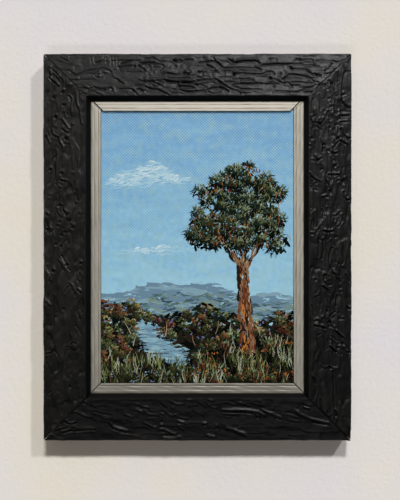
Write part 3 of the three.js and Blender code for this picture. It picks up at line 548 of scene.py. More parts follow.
# Sweeps an outline of (inward, forward) points along one side of the frame, mitred at both ends.
# cuts is how far each end stops short of the corner's diagonal, and liftAt gives how far each point
# stands out from the outline. The mesh keeps its lay: along the rail and round the outline, in metres.
def sweepSide(meshName, side, outline, kinds, step, cuts, liftAt, deepest, stain):
    along, inward, lengthAxis, offsetAxis, _ = sides[side]
    half = outerHalf[lengthAxis]
    rows = len(outline)
    mesh = bpy.data.meshes.new(meshName)
    bm = bmesh.new()
    bmesh.ops.create_grid(bm, x_segments=int(2 * half / step), y_segments=rows, size=1)
    bm.to_mesh(mesh)
    bm.free()
    grid = np.zeros(len(mesh.vertices) * 3)
    mesh.vertices.foreach_get("co", grid)
    grid = grid.reshape(-1, 3)
    share = grid[:, 0]
    wrapped = np.rint((grid[:, 1] + 1) / 2 * rows).astype(int)
    row = wrapped % rows

    tangent = outline[(np.arange(rows) + 1) % rows] - outline[np.arange(rows) - 1]
    tangent /= np.linalg.norm(tangent, axis=1)[:, None]
    normal = np.stack([-tangent[:, 1], tangent[:, 0]], axis=1)
    gap = np.where(share < 0, cuts[0], cuts[1])
    u, t = outline[row, 0], outline[row, 1]
    x = share * (half - u - gap)
    lift = liftAt(x, row, half - u - np.abs(x))
    u = np.maximum(u + normal[row, 0] * lift, 0)
    t = np.minimum(t + normal[row, 1] * lift, deepest)
    x = share * (half - u - gap)
    origin = Vector((frameMiddle.x / mm, 0, middleZ)) - inward * outerHalf[offsetAxis]
    points = (np.array(origin)[None, :] + x[:, None] * np.array(along) + u[:, None] * np.array(inward)
              + (backPlane - t)[:, None] * np.array((0, 1, 0))) * mm
    mesh.vertices.foreach_set("co", points.ravel())
    mesh.attributes.new("relief", "FLOAT", "POINT").data.foreach_set("value", lift.astype(np.float32))
    edges = np.diff(np.vstack([outline, outline[:1]]), axis=0)
    girth = np.concatenate([[0], np.cumsum(np.linalg.norm(edges, axis=1))])
    lay = np.stack([x, girth[wrapped], np.zeros_like(x)], axis=1) * mm
    setVectors(mesh, "lay", lay)

    bm = bmesh.new()
    bm.from_mesh(mesh)
    for face in bm.faces:
        low = min(row[v.index] for v in face.verts)
        high = max(row[v.index] for v in face.verts)
        used = high if high - low > 1 else low
        face.material_index = kinds[used]
        face.smooth = kinds[used] != 1
    bmesh.ops.remove_doubles(bm, verts=bm.verts, dist=1e-7)
    filled = bmesh.ops.holes_fill(bm, edges=[e for e in bm.edges if e.is_boundary], sides=0)
    cut = bmesh.ops.triangulate(bm, faces=filled["faces"])
    for face in cut["faces"]:
        # the mitre is coloured where it shows and raw behind
        face.material_index = 2 if backPlane - face.calc_center_median().y / mm > stain else 1
        face.smooth = False
    bmesh.ops.recalc_face_normals(bm, faces=bm.faces)
    bm.to_mesh(mesh)
    bm.free()
    return mesh


# Materials: 0 black gesso, 1 raw wood, 2 flat black. Each value is how much of the relief is on that point.
def railOutline():
    r = rail
    undercut, sideTop = (r["undercut"] - 0.03, r["undercutTop"]), (r["sideIn"], r["sideTop"])
    faceStart, faceEnd = (r["faceStart"], r["outerEdge"]), (r["faceEnd"], r["crest"])
    lipEdge, lipBack = (r["face"], r["lipEdge"]), (r["face"], r["lipBack"])
    shoulder = bend(faceEnd, r["shoulder"], r["bevelStart"], 7)
    return joinRuns([
        (straight((r["rabbet"], 0), (r["backEdge"], 0), 3), 0, 0, 1),
        (bend((r["backEdge"], 0), (r["undercut"], 0), undercut, 2), 0, 0, 0),
        (straight(undercut, sideTop, 9), 0.1, 0.4, 0),
        (bend(sideTop, (0.1, r["sideBend"]), faceStart, 8), 0.4, 0.9, 0),
        (straight(faceStart, faceEnd, int((r["faceEnd"] - r["faceStart"]) / r["grid"])), 1, 1, 0),
        (shoulder[:4], 0.9, 0.4, 0),
        (shoulder[4:], 0.3, 0.15, 2),
        (straight(r["bevelStart"], r["bevelEnd"], 9), 0.12, 0.06, 2),
        (bend(r["bevelEnd"], (r["face"], r["bevelFoot"]), lipEdge, 2), 0, 0, 2),
        (straight(lipEdge, lipBack, 2), 0, 0, 2),
        (straight(lipBack, (r["rabbet"], r["lipBack"]), 2), 0, 0, 1),
        (straight((r["rabbet"], r["lipBack"]), (r["rabbet"], 0), 3), 0, 0, 1),
    ])


def buildRail(name, materials):
    along, inward, lengthAxis, _, corners = sides[name]
    half = outerHalf[lengthAxis]
    outline, weights, kinds = railOutline()
    # where each point lies on the map: round the outer side below zero, then inward over the face
    inner, fromEdge = outline[:, 0], outline[:, 1] - rail["outerEdge"]
    place = np.where((fromEdge < -0.01) & (inner <= rail["faceEnd"]), fromEdge, inner)
    shade = np.array((relief["shade"][0] * along.x + relief["shade"][1] * along.z,
                      relief["shade"][0] * inward.x + relief["shade"][1] * inward.z))
    field = gessoMap(name, 2 * half, shade)

    # worn down a little beside the open mitres
    def liftAt(x, row, fromCut):
        return (bilinear(field, x, place[row], half) - 0.35 * np.exp(-fromCut / 0.5)) * weights[row]

    mesh = sweepSide("rail_" + name, name, outline, kinds, rail["grid"],
                     [rail["mitre"][corner] for corner in corners], liftAt, rail["deepest"], rail["stain"])
    makePiece("moulding_" + name, mesh, materials, ["rail_" + name])


# Gesso under black acrylic: near black, its colour set by the relief, greyer on the ridges and darker in the
# grooves as painted highlight and shade, with a fine dull grain
def blackGesso():
    material, tree, shader = startMaterial("black acrylic on gesso", "#151413", 0.42, specular=0.3)
    where = addNode(tree, "TexCoord").outputs["Object"]
    height = addNode(tree, "Attribute", {"attribute_name": "relief"}).outputs["Fac"]
    mottle = addNode(tree, "TexNoise", {"Scale": 1 / (9 * mm), "Detail": 5.0}, {"Vector": where})
    # the relief's height lightens the ridges and darkens the grooves: painted highlight and painted shade
    level = addNode(tree, "MapRange", {1: -0.5, 2: 0.6}, {0: height})
    mixed = addNode(tree, "Math", {"operation": "MULTIPLY_ADD", 1: 0.35}, {0: mottle, 2: level})
    colour = addNode(tree, "ValToRGB", {"stops": [
        (0.15, "#050505"), (0.5, "#0a0a09"), (0.78, "#0f0e0e"), (1.0, "#161514")]}, {"Fac": mixed})
    grain = addNode(tree, "TexNoise", {"Scale": 1 / (1.5 * mm), "Detail": 6.0, "Roughness": 0.62},
                    {"Vector": where})
    dull = addNode(tree, "MapRange", {1: 0.3, 2: 0.75, 3: 0.42, 4: 0.52}, {0: grain})
    bump = addNode(tree, "Bump", {"Strength": 0.5, "Distance": 0.22 * mm}, {"Height": grain})
    link(tree, shader, {"Base Color": colour, "Roughness": dull, "Normal": bump})
    return material


# Flat black paint on the smooth inner bevel: darker and duller than the gesso, with faint brush lines
def flatBlack():
    material, tree, shader = startMaterial("flat black paint", "#0a0a0a", 0.62, specular=0.12)
    lay = addNode(tree, "Attribute", {"attribute_name": "lay"}).outputs["Vector"]
    stretch = addNode(tree, "Mapping", {"Scale": (1 / (9 * mm), 1 / (0.5 * mm), 1)}, {"Vector": lay})
    lines = addNode(tree, "TexNoise", {"Scale": 1.0, "Detail": 3.0}, {"Vector": stretch})
    colour = addNode(tree, "ValToRGB", {"stops": [(0.3, "#020202"), (0.7, "#060606")]}, {"Fac": lines})
    bump = addNode(tree, "Bump", {"Strength": 0.2, "Distance": 0.08 * mm}, {"Height": lines})
    link(tree, shader, {"Base Color": colour, "Normal": bump})
    return material


# Poplar, sawn and left raw: pale greenish brown with darker bands and short pores along the grain
def rawPoplar():
    material, tree, shader = startMaterial("raw poplar", "#b79b6e", 0.72)
    lay = addNode(tree, "Attribute", {"attribute_name": "lay"}).outputs["Vector"]
    broad = addNode(tree, "Mapping", {"Scale": (1 / (60 * mm), 1 / (5 * mm), 1)}, {"Vector": lay})
    bands = addNode(tree, "TexNoise", {"Scale": 1.0, "Detail": 4.0, "Distortion": 0.4}, {"Vector": broad})
    fine = addNode(tree, "Mapping", {"Scale": (1 / (7 * mm), 1 / (0.4 * mm), 1)}, {"Vector": lay})
    pores = addNode(tree, "TexNoise", {"Scale": 1.0, "Detail": 5.0, "Roughness": 0.65}, {"Vector": fine})
    mixed = addNode(tree, "Math", {"operation": "MULTIPLY_ADD", 1: 0.45}, {0: pores, 2: bands})
    colour = addNode(tree, "ValToRGB", {"stops": [
        (0.45, "#846a42"), (0.62, "#ab8d5c"), (0.78, "#c2a778"), (0.95, "#d2bc92")]}, {"Fac": mixed})
    bump = addNode(tree, "Bump", {"Strength": 0.4, "Distance": 0.1 * mm}, {"Height": pores})
    link(tree, shader, {"Base Color": colour, "Normal": bump})
    return material


poplar = rawPoplar()
railMaterials = [blackGesso(), poplar, flatBlack()]
for name in sides:
    buildRail(name, railMaterials)
print("moulding rails built")


slip = {
    "grid": 0.8, "rabbet": 25.3, "shelf": 30.4, "back": 5.6, "front": 13.3,
    "panelRabbet": 35.4, "lip": 11.0, "sight": 37.2,
    # from the outside in, as (inward, forward) points: nearly flat bands with narrow grooves between
    "outerBand": ((30.95, 13.31), (31.25, 13.42), (32.5, 13.53), (32.8, 13.52)), "groove": (33.0, 13.49),
    "reed": ((33.2, 13.55), (33.45, 13.58), (34.8, 13.69), (35.2, 13.69)), "cove": (35.45, 13.67),
    "innerBead": ((35.7, 13.74), (35.9, 13.8), (37.0, 13.88), (37.2, 13.65)),
    "wave": 0.025, "waveLengths": (3.1, 7.7, 1.7, 19), "deepest": 14.2, "stain": 12.2,
    # half the open line at each mitre, and how far the joint has slipped from the corner's diagonal
    "mitre": {"topleft": 0.32, "topright": 0.16, "bottomright": 0.1, "bottomleft": 0.05},
    "slipped": {"topleft": 1.2, "topright": 2.2, "bottomright": 0.0, "bottomleft": 0.0},
}


# Materials: 0 silver leaf, 1 raw wood, 2 the dark end of the mitre. Each value is how hollow that point is.
def slipOutline():
    s = slip
    outer, reed, inner = s["outerBand"], s["reed"], s["innerBead"]
    return joinRuns([
        (straight((s["panelRabbet"], s["back"]), (s["rabbet"], s["back"]), 3), 0, 0, 1),
        (straight((s["rabbet"], s["back"]), (s["rabbet"], s["front"]), 3), 0, 0, 1),
        (straight((s["rabbet"], s["front"]), (s["shelf"], s["front"]), 2), 0.5, 0.5, 0),
        (straight((s["shelf"], s["front"]), outer[0], 2), 0.6, 0.9, 0),
        (bend(outer[0], (outer[0][0] + 0.1, outer[1][1]), outer[1], 3), 0.7, 0.1, 0),
        (straight(outer[1], outer[2], 2), 0.0, 0.1, 0),
        (bend(outer[2], (outer[3][0] - 0.1, outer[2][1]), outer[3], 3), 0.1, 0.5, 0),
        (straight(outer[3], s["groove"], 2), 0.8, 1.0, 0),
        (straight(s["groove"], reed[0], 2), 1.0, 0.8, 0),
        (bend(reed[0], (reed[0][0] + 0.1, reed[1][1]), reed[1], 3), 0.5, 0.1, 0),
        (straight(reed[1], reed[2], 2), 0.0, 0.1, 0),
        (bend(reed[2], (reed[3][0] - 0.2, reed[2][1]), reed[3], 3), 0.1, 0.5, 0),
        (bend(reed[3], (s["cove"][0] - 0.2, s["cove"][1]), s["cove"], 3), 0.6, 0.9, 0),
        (bend(s["cove"], (s["cove"][0] + 0.2, s["cove"][1]), inner[0], 3), 0.9, 0.6, 0),
        (bend(inner[0], (inner[0][0] + 0.05, inner[1][1] - 0.02), inner[1], 3), 0.4, 0.0, 0),
        (straight(inner[1], inner[2], 2), 0.0, 0.0, 0),
        (bend(inner[2], (inner[3][0] - 0.05, inner[2][1]), inner[3], 4), 0.0, 0.1, 0),
        (straight(inner[3], (s["sight"], s["lip"]), 3), 0.2, 0.3, 0),
        (straight((s["sight"], s["lip"]), (s["panelRabbet"], s["lip"]), 2), 0.3, 0.3, 1),
        (straight((s["panelRabbet"], s["lip"]), (s["panelRabbet"], s["back"]), 3), 0, 0, 1),
    ])


def buildSlip(name, materials, seed):
    rng = np.random.default_rng(seed)
    corners = sides[name][4]
    outline, hollow, kinds = slipOutline()
    way = 1 if name in ("top", "bottom") else -1
    cuts = [slip["mitre"][corner] + way * slip["slipped"][corner] for corner in corners]
    shifts, shares = rng.uniform(0, 2 * pi, 4), rng.uniform(0.5, 1, 4)
    fronts = np.array(kinds) == 0

    # rubbed and bumped a little, as hand-laid leaf over clay is
    def liftAt(x, row, fromCut):
        wave = sum(shares[i] * np.sin(x / reach + shifts[i] + row * 0.4)
                   for i, reach in enumerate(slip["waveLengths"]))
        return fronts[row] * (wave * slip["wave"] / 2 - 0.2 * np.exp(-fromCut / 0.4) * (fromCut > 0))

    mesh = sweepSide("slip_" + name, name, outline, kinds, slip["grid"], cuts, liftAt,
                     slip["deepest"], slip["stain"])
    bm = bmesh.new()
    bm.from_mesh(mesh)
    layer = bm.verts.layers.float.new("hollow")
    lay = bm.verts.layers.float_vector["lay"]
    girth = np.concatenate([[0], np.cumsum(np.linalg.norm(np.diff(outline, axis=0), axis=1))])
    for vert in bm.verts:
        vert[layer] = float(np.interp(vert[lay].y / mm, girth, hollow))
    bm.to_mesh(mesh)
    bm.free()
    makePiece("liner_" + name, mesh, materials, ["slip_" + name])


# Silver leaf on wood, rubbed and toned: a dull grey metal, warmer and darker in the hollows, with
# burnishing streaks along it and cloudy patches of tone
def silverLeaf():
    material, tree, shader = startMaterial("silver leaf, toned", "#b9b3a6", 0.58, 0.85)
    lay = addNode(tree, "Attribute", {"attribute_name": "lay"}).outputs["Vector"]
    hollow = addNode(tree, "Attribute", {"attribute_name": "hollow"}).outputs["Fac"]
    stretch = addNode(tree, "Mapping", {"Scale": (1 / (14 * mm), 1 / (0.5 * mm), 1)}, {"Vector": lay})
    streaks = addNode(tree, "TexNoise", {"Scale": 1.0, "Detail": 4.0, "Roughness": 0.6}, {"Vector": stretch})
    patches = addNode(tree, "Mapping", {"Scale": (1 / (11 * mm), 1 / (4 * mm), 1)}, {"Vector": lay})
    cloudy = addNode(tree, "TexNoise", {"Scale": 1.0, "Detail": 5.0}, {"Vector": patches})
    tone = addNode(tree, "Math", {"operation": "MULTIPLY_ADD", 1: 0.55}, {0: streaks, 2: cloudy})
    leaf = addNode(tree, "ValToRGB", {"stops": [
        (0.5, "#817e77"), (0.75, "#8b8880"), (1.0, "#949189")]}, {"Fac": tone})
    toned = addNode(tree, "MapRange", {1: 0.35, 2: 1.0, 3: 0.0, 4: 0.16}, {0: hollow})
    colour = addNode(tree, "Mix", {"data_type": "RGBA", 7: toLinear("#5f584c")}, {0: toned, 6: leaf})
    dull = addNode(tree, "MapRange", {1: 0.3, 2: 0.7, 3: 0.48, 4: 0.54}, {0: cloudy})
    bump = addNode(tree, "Bump", {"Strength": 0.13, "Distance": 0.08 * mm}, {"Height": tone})
    link(tree, shader, {"Base Color": colour.outputs[2], "Roughness": dull, "Normal": bump})
    return material


# Grey clay under the leaf, left dark at the cut ends
def clayEnd():
    material, tree, shader = startMaterial("grey clay bole", "#4a453d", 0.8)
    where = addNode(tree, "TexCoord").outputs["Object"]
    mottle = addNode(tree, "TexNoise", {"Scale": 1 / (2 * mm), "Detail": 4.0}, {"Vector": where})
    colour = addNode(tree, "ValToRGB", {"stops": [(0.35, "#38332c"), (0.7, "#5d574c")]}, {"Fac": mottle})
    link(tree, shader, {"Base Color": colour})
    return material


slipMaterials = [silverLeaf(), poplar, clayEnd()]
for seed, name in enumerate(sides):
    buildSlip(name, slipMaterials, seed + 5)
print("silver slips built")


canvas = {
    "width": 127.0, "height": 177.8, "back": 7.2, "front": 10.7, "skin": 0.5, "turn": 9.0, "edgeRound": 0.7,
    "groundTop": -162.0,         # below this height the canvas was first washed dark
    "threads": 0.95, "backThreads": 0.9,
    "paintedRound": 1.6,         # the paint ends on the sides, this far in front of the back
    # the turned-over strips: how far they stop short of the corners, and how unevenly they were cut
    "turnCorner": (0.9, 0.6), "turnStep": 2.5, "turnRagged": (-0.35, 0.25),
}


# The canvas: a tray glued round the board, its four turned-over strips lapped at the corners
def buildCanvas(materials):
    c = canvas
    w, h, skin, turn = c["width"] / 2, c["height"] / 2, c["skin"], c["turn"]
    bm = bmesh.new()
    bmesh.ops.create_cube(bm, size=1)
    bmesh.ops.scale(bm, vec=(2 * w, c["front"] - c["back"] - skin, 2 * h), verts=bm.verts)
    bmesh.ops.delete(bm, geom=[f for f in bm.faces if f.calc_center_median().y > 0.1], context="FACES_ONLY")
    rounded = [e for e in bm.edges if not e.is_boundary]
    bmesh.ops.bevel(bm, geom=rounded, offset=c["edgeRound"], segments=3, affect="EDGES",
                    profile=0.5, material=-1)
    bmesh.ops.recalc_face_normals(bm, faces=bm.faces)
    front = max(bm.faces, key=lambda f: f.calc_area())
    if front.normal.y > 0:
        bmesh.ops.reverse_faces(bm, faces=bm.faces)
    bmesh.ops.solidify(bm, geom=bm.faces, thickness=skin)
    middle = (c["front"] + c["back"] + skin) / 2
    bmesh.ops.translate(bm, vec=(0, -middle, 0), verts=bm.verts)
    # strips turned over the back, each with one lapped corner and a slightly uneven cut edge
    rng = np.random.default_rng(3)
    for width, height, quarter in ((w, h, 0), (h, w, 1), (w, h, 2), (h, w, 3)):
        cutEdge = []
        steps = int(2 * (width - turn) / c["turnStep"])
        for k in range(steps + 1):
            x = -(width - turn) + 2 * (width - turn) * k / steps
            cutEdge.append((x, height - turn + rng.uniform(*c["turnRagged"])))
        side, end = width - c["turnCorner"][0], height - c["turnCorner"][1]
        outline = [(-side, end), *cutEdge, (side, end)]
        verts = [bm.verts.new((x, -c["back"], z)) for x, z in outline]
        face = bm.faces.new(verts)
        raised = bmesh.ops.extrude_face_region(bm, geom=[face])
        top = [g for g in raised["geom"] if isinstance(g, bmesh.types.BMVert)]
        bmesh.ops.translate(bm, vec=(0, -skin, 0), verts=top)
        strip = verts + top
        bmesh.ops.rotate(bm, cent=(0, 0, 0), matrix=Matrix.Rotation(quarter * pi / 2, 3, "Y"), verts=strip)
    bmesh.ops.scale(bm, vec=(mm, mm, mm), verts=bm.verts)
    bmesh.ops.translate(bm, vec=(0, backPlane * mm, middleZ * mm), verts=bm.verts)
    # the dark wash ends in a line across the front
    bmesh.ops.bisect_plane(bm, geom=bm.verts[:] + bm.edges[:] + bm.faces[:],
                           plane_co=(0, 0, c["groundTop"] * mm), plane_no=(0, 0, 1))
    bmesh.ops.triangulate(bm, faces=[f for f in bm.faces if len(f.verts) > 4])
    bmesh.ops.recalc_face_normals(bm, faces=bm.faces)
    for face in bm.faces:
        middle = face.calc_center_median()
        painted = middle.y < (backPlane - c["back"] - c["paintedRound"]) * mm
        face.material_index = (1 if middle.z < c["groundTop"] * mm else 0) if painted else 2
    mesh = bpy.data.meshes.new("canvas_panel")
    bm.to_mesh(mesh)
    bm.free()
    makePiece("canvas_panel", mesh, materials, ["canvas"])


# Plain weave as a height: threads pass over and under one another by turns. They are drawn
# about 0.95 mm apart, coarser than real ones, so that they show. The texture's own bands
# repeat every 2 pi / (20 x scale), here every two threads.
def weave(tree, spacing):
    where = addNode(tree, "TexCoord").outputs["Object"]
    signed = []
    for direction in "XZ":
        wave = addNode(tree, "TexWave", {
            "bands_direction": direction, "Scale": 2 * pi / (20 * 2 * spacing * mm),
            "Distortion": 0.6, "Detail Scale": 0.5}, {"Vector": where})
        signed.append(addNode(tree, "Math", {"operation": "MULTIPLY_ADD", 1: 2.0, 2: -1.0},
                              {0: wave.outputs["Fac"]}))
    crossing = addNode(tree, "Math", {"operation": "MULTIPLY"}, dict(enumerate(signed)))
    return addNode(tree, "Math", {"operation": "MULTIPLY_ADD", 1: 0.5, 2: 0.5}, {0: crossing}), where


# Oil sky, thin enough for the weave to show: deeper blue above, paler and greener low down, with
# long slanting strokes that left streaks; the weave's hollows carry painted shade and its thread tops a
# painted highlight
def skyOil():
    material, tree, shader = startMaterial("oil paint on canvas, sky", "#7fb0cb", 0.5, specular=0.3)
    threads, where = weave(tree, canvas["threads"])
    z = addNode(tree, "SeparateXYZ", {}, {0: where}).outputs["Z"]
    low, high = (middleZ - canvas["height"] / 2) * mm, (middleZ + canvas["height"] / 2) * mm
    height = addNode(tree, "MapRange", {1: low, 2: high}, {0: z})
    turned = addNode(tree, "Mapping", {
        "Rotation": (0, radians(28), 0), "Scale": (1 / (30 * mm), 1, 1 / (7 * mm))}, {"Vector": where})
    streaks = addNode(tree, "TexNoise", {"Scale": 1.0, "Detail": 5.0, "Roughness": 0.55}, {"Vector": turned})
    fine = addNode(tree, "TexNoise", {"Scale": 1 / (3.2 * mm), "Detail": 4.0}, {"Vector": where})
    drift = addNode(tree, "Math", {"operation": "MULTIPLY_ADD", 1: 0.8, 2: -0.4}, {0: streaks})
    flecks = addNode(tree, "Math", {"operation": "MULTIPLY_ADD", 1: 0.7, 2: -0.35}, {0: fine})
    drifted = addNode(tree, "Math", {"operation": "ADD"}, {0: height, 1: drift})
    flecked = addNode(tree, "Math", {"operation": "ADD"}, {0: drifted, 1: flecks})
    colour = addNode(tree, "ValToRGB", {"stops": [
        (0.2, "#9ed2e6"), (0.4, "#94cae4"), (0.55, "#86c0e2"), (0.7, "#7fb9db"), (0.84, "#74b0dc"),
        (1.0, "#6aa7d5")]}, {"Fac": flecked})
    patchy = addNode(tree, "TexNoise", {"Scale": 1 / (6 * mm), "Detail": 3.0}, {"Vector": where})
    greener = addNode(tree, "MapRange", {1: 0.48, 2: 0.72, 3: 0.0, 4: 0.42}, {0: patchy})
    mottled = addNode(tree, "Mix", {"data_type": "RGBA", 7: toLinear("#96c6c4")}, {0: greener, 6: colour})
    # painted shade: a darker blue where the weave sinks; painted highlight: a paler blue on the thread tops
    sunk = addNode(tree, "MapRange", {1: 0.2, 2: 0.5, 3: 0.6, 4: 0.0}, {0: threads})
    weaveShadedSky = addNode(tree, "Mix", {"data_type": "RGBA", 7: toLinear("#4b83b4")},
                     {0: sunk, 6: mottled.outputs[2]})
    threadTopHighlight = addNode(tree, "MapRange", {1: 0.5, 2: 0.85, 3: 0.0, 4: 0.7}, {0: threads})
    lit = addNode(tree, "Mix", {"data_type": "RGBA", 7: toLinear("#b4d6e4")},
                  {0: threadTopHighlight, 6: weaveShadedSky.outputs[2]})
    # the paint is thin at the top, where the weave and its painted highlight show most, and thicker low down
    # and in places
    thin = addNode(tree, "MapRange", {1: 0.3, 2: 0.95, 3: 0.3, 4: 0.8}, {0: height})
    uneven = addNode(tree, "MapRange", {1: 0.35, 2: 0.65, 3: 0.4, 4: 1.2}, {0: patchy})
    share = addNode(tree, "Math", {"operation": "MULTIPLY"}, {0: thin, 1: uneven})
    sky = addNode(tree, "Mix", {"data_type": "RGBA"}, {0: share, 6: mottled.outputs[2], 7: lit.outputs[2]})
    relief = addNode(tree, "Math", {"operation": "MULTIPLY_ADD", 1: 0.6}, {0: fine, 2: threads})
    bump = addNode(tree, "Bump", {"Strength": 0.5, "Distance": 0.12 * mm}, {"Height": relief})
    link(tree, shader, {"Base Color": sky.outputs[2], "Normal": bump})
    return material


# A thin dark wash under the land, scrubbed on, with the weave showing
def groundWash():
    material, tree, shader = startMaterial("oil wash on canvas, umber", "#2c2a1c", 0.55, specular=0.3)
    threads, where = weave(tree, canvas["threads"])
    blots = addNode(tree, "TexNoise", {"Scale": 1 / (5 * mm), "Detail": 6.0}, {"Vector": where})
    colour = addNode(tree, "ValToRGB", {"stops": [
        (0.3, "#12150e"), (0.5, "#28281a"), (0.65, "#3a3420"), (0.8, "#4b4a2c")]}, {"Fac": blots})
    bump = addNode(tree, "Bump", {"Strength": 0.5, "Distance": 0.12 * mm}, {"Height": threads})
    link(tree, shader, {"Base Color": colour, "Normal": bump})
    return material


# Cotton duck with white ground on its far side: off-white, with the plain weave showing in its bump and as
# painted shade where the weave dips
def rawCanvas():
    material, tree, shader = startMaterial("cotton canvas", "#d8cfbb", 0.85)
    threads, where = weave(tree, canvas["backThreads"])
    soil = addNode(tree, "TexNoise", {"Scale": 1 / (12 * mm), "Detail": 4.0}, {"Vector": where})
    # the colour is darker where the weave dips: painted shade between the threads, mixed with soil patches
    mixed = addNode(tree, "Math", {"operation": "MULTIPLY_ADD", 1: 0.5}, {0: threads, 2: soil})
    colour = addNode(tree, "ValToRGB", {"stops": [
        (0.3, "#b3a78e"), (0.55, "#d0c6b0"), (0.9, "#e2dac8")]}, {"Fac": mixed})
    bump = addNode(tree, "Bump", {"Strength": 0.6, "Distance": 0.15 * mm}, {"Height": threads})
    link(tree, shader, {"Base Color": colour, "Normal": bump})
    return material


buildCanvas([skyOil(), groundWash(), rawCanvas()])
print("canvas built")


# Oil colours as they came off the brush
paints = {
    "blackGreen": "#060806", "deepGreen": "#121d13", "darkTeal": "#182a23", "olive": "#363b20",
    "moss": "#4c5530", "leaf": "#768451", "yellowGreen": "#93955a", "sage": "#80937b", "grey": "#a7b29c",
    "rust": "#5f2e1b", "sienna": "#7b5038", "orange": "#a9571f", "amber": "#b9783a", "tan": "#8f7052",
    "cream": "#c2b79b", "umber": "#261c14", "violet": "#6f78a6", "mist": "#93b3c4", "haze": "#84a6b8",
    "cloud": "#d3e6ee", "cloudDim": "#bcdbe9", "cloudShade": "#a6cfe3", "water": "#7aa6bd",
    "shallows": "#97bcc8", "farBlue": "#6d8da4", "farGreen": "#57756f", "slate": "#3f5560",
    "skyGap": "#90c5df",
}

# A made-up view: an old oak on the right, a pond among bushes, low hills, and grass at the near bank.
# Heights are up from the picture's lower edge and x is from its middle, in millimetres.
valley = {
    "lift": 0.008,      # how far each later pass starts above the one before
    "start": 0.02,      # how far the first pass starts under the canvas's front
    "sunk": 0.3,        # how far the underside of a stroke reaches into the canvas
    "edgeTop": 10.94,   # paint under the slip's lip is thinner than this
    "sown": ((-62.6, 62.6), (-0.6, 175.4)),     # where strokes may start
    "bottom": -87.4,    # the picture's lower edge, from the canvas's middle
    "limit": (63.0, 88.3), "underLip": (61.5, 86.9),    # half the width and height
    "bow": 0.12, "toneDrift": 0.22,
    # crowns: where they may stand, how squat they are, how far strokes stray from fanning straight
    # out, and the tones: in the middle, how much they gain towards the light, and how they vary
    "crownArea": ((-63, 63), (0, 175)), "squat": 0.85, "fan": 0.7,
    "crownTone": 0.42, "toneGain": 0.4, "lightTurn": 0.5, "crownDrift": 0.12, "strokeDrift": 0.16,
}


def farRidge(x):
    return 60 + 4 * np.sin(x / 19 + 2.2) + 1.6 * np.sin(x / 6.1)


def treeLine(x):
    return 49 - 0.05 * (x + 62) + 3.5 * np.sin(x / 9 + 0.8) + 1.5 * np.sin(x / 3.7)


def pondMiddle(h):
    return -25 + 9 * np.sin(h / 9 + 0.4)


def onPond(x, h):
    return (np.abs(x - pondMiddle(h)) < 5 + (42 - h) * 0.32) & (h < 41) & (h > 9)


def onLand(x, h):
    return (h < treeLine(x)) & ~onPond(x, h)


def bankTop(x):
    return 13 + 11 * np.clip((x + 10) / 72, 0, 1) ** 0.8 + 2.5 * np.sin(x / 7)


# How far inside a group of rounded masses a place is; each mass is its middle and its half width and height
def massAt(x, h, masses):
    return sum(np.exp(-(((x - a) / w) ** 2 + ((h - b) / t) ** 2) * 1.6) for a, b, w, t in masses)


clouds = ((-38, 132, 24, 7), (-28, 138, 12, 6), (-48, 128, 15, 4), (-14, 130, 15, 4), (-36, 84, 20, 3),
          (-18, 86, 12, 2.6))
oak = ((26, 118, 26, 13), (6, 104, 15, 10), (46, 106, 16, 12), (32, 134, 17, 10), (12, 124, 14, 9),
       (2, 92, 11, 6), (52, 90, 12, 8), (36, 96, 20, 10), (18, 92, 12, 7), (47, 124, 11, 8))


# Whether a place is on a limb, which runs from one end to the other and narrows as it goes
def onLimb(x, h, limb):
    (x0, h0), (x1, h1), thick, thin = limb
    share = np.clip(((x - x0) * (x1 - x0) + (h - h0) * (h1 - h0)) / ((x1 - x0) ** 2 + (h1 - h0) ** 2), 0, 1)
    off = np.hypot(x - x0 - share * (x1 - x0), h - h0 - share * (h1 - h0))
    return off < thick + (thin - thick) * share


trunk = ((33, 12), (29, 78), 4.6, 3.2)
limbsLeft = (((29, 74), (9, 100), 2.2, 0.8), ((28, 84), (18, 116), 1.6, 0.7), ((16, 90), (2, 93), 1.2, 0.5))
limbsRight = (((30, 74), (48, 101), 2.2, 0.8), ((31, 82), (34, 122), 1.8, 0.7),
              ((40, 88), (53, 91), 1.2, 0.5))


# Tone, from 0 dark to 1 light, in drifting patches of about the width and height given
def patches(rng, x, h, wide, tall):
    total = 0
    for _ in range(6):
        a, reach = rng.uniform(0, 2 * pi), rng.uniform(0.7, 1.6)
        along = (x * cos(a) / wide + h * sin(a) / tall) / reach
        total = total + np.sin(2 * pi * along + rng.uniform(0, 2 * pi))
    return 0.5 + 0.24 * total


# Trees and bushes: round crowns of short strokes that fan out, light above and dark below.
# Returns the strokes' places, turns and tones for crowns set at random inside the area.
def crowns(rng, inside, count, radii, strokes):
    v = valley
    x, h, turn, tone = [], [], [], []
    places = []
    while len(places) < count:
        a, b = (rng.uniform(*limits) for limits in v["crownArea"])
        if inside(np.array([a]), np.array([b]))[0]:
            places.append((a, b))
    for a, b in sorted(places, key=lambda place: -place[1]):     # the nearer ones are painted later
        radius, shade = rng.uniform(*radii), rng.uniform(-v["crownDrift"], v["crownDrift"])
        angle, out = rng.uniform(0, 2 * pi, strokes), np.sqrt(rng.uniform(0, 1, strokes))
        x.append(a + radius * out * np.cos(angle))
        h.append(b + v["squat"] * radius * out * np.sin(angle))
        turn.append(angle + rng.uniform(-v["fan"], v["fan"], strokes))
        tone.append(v["crownTone"] + shade + v["toneGain"] * out * np.sin(angle + v["lightTurn"])
                    + rng.uniform(-v["strokeDrift"], v["strokeDrift"], strokes))
    return [np.concatenate(part) for part in (x, h, turn, tone)]


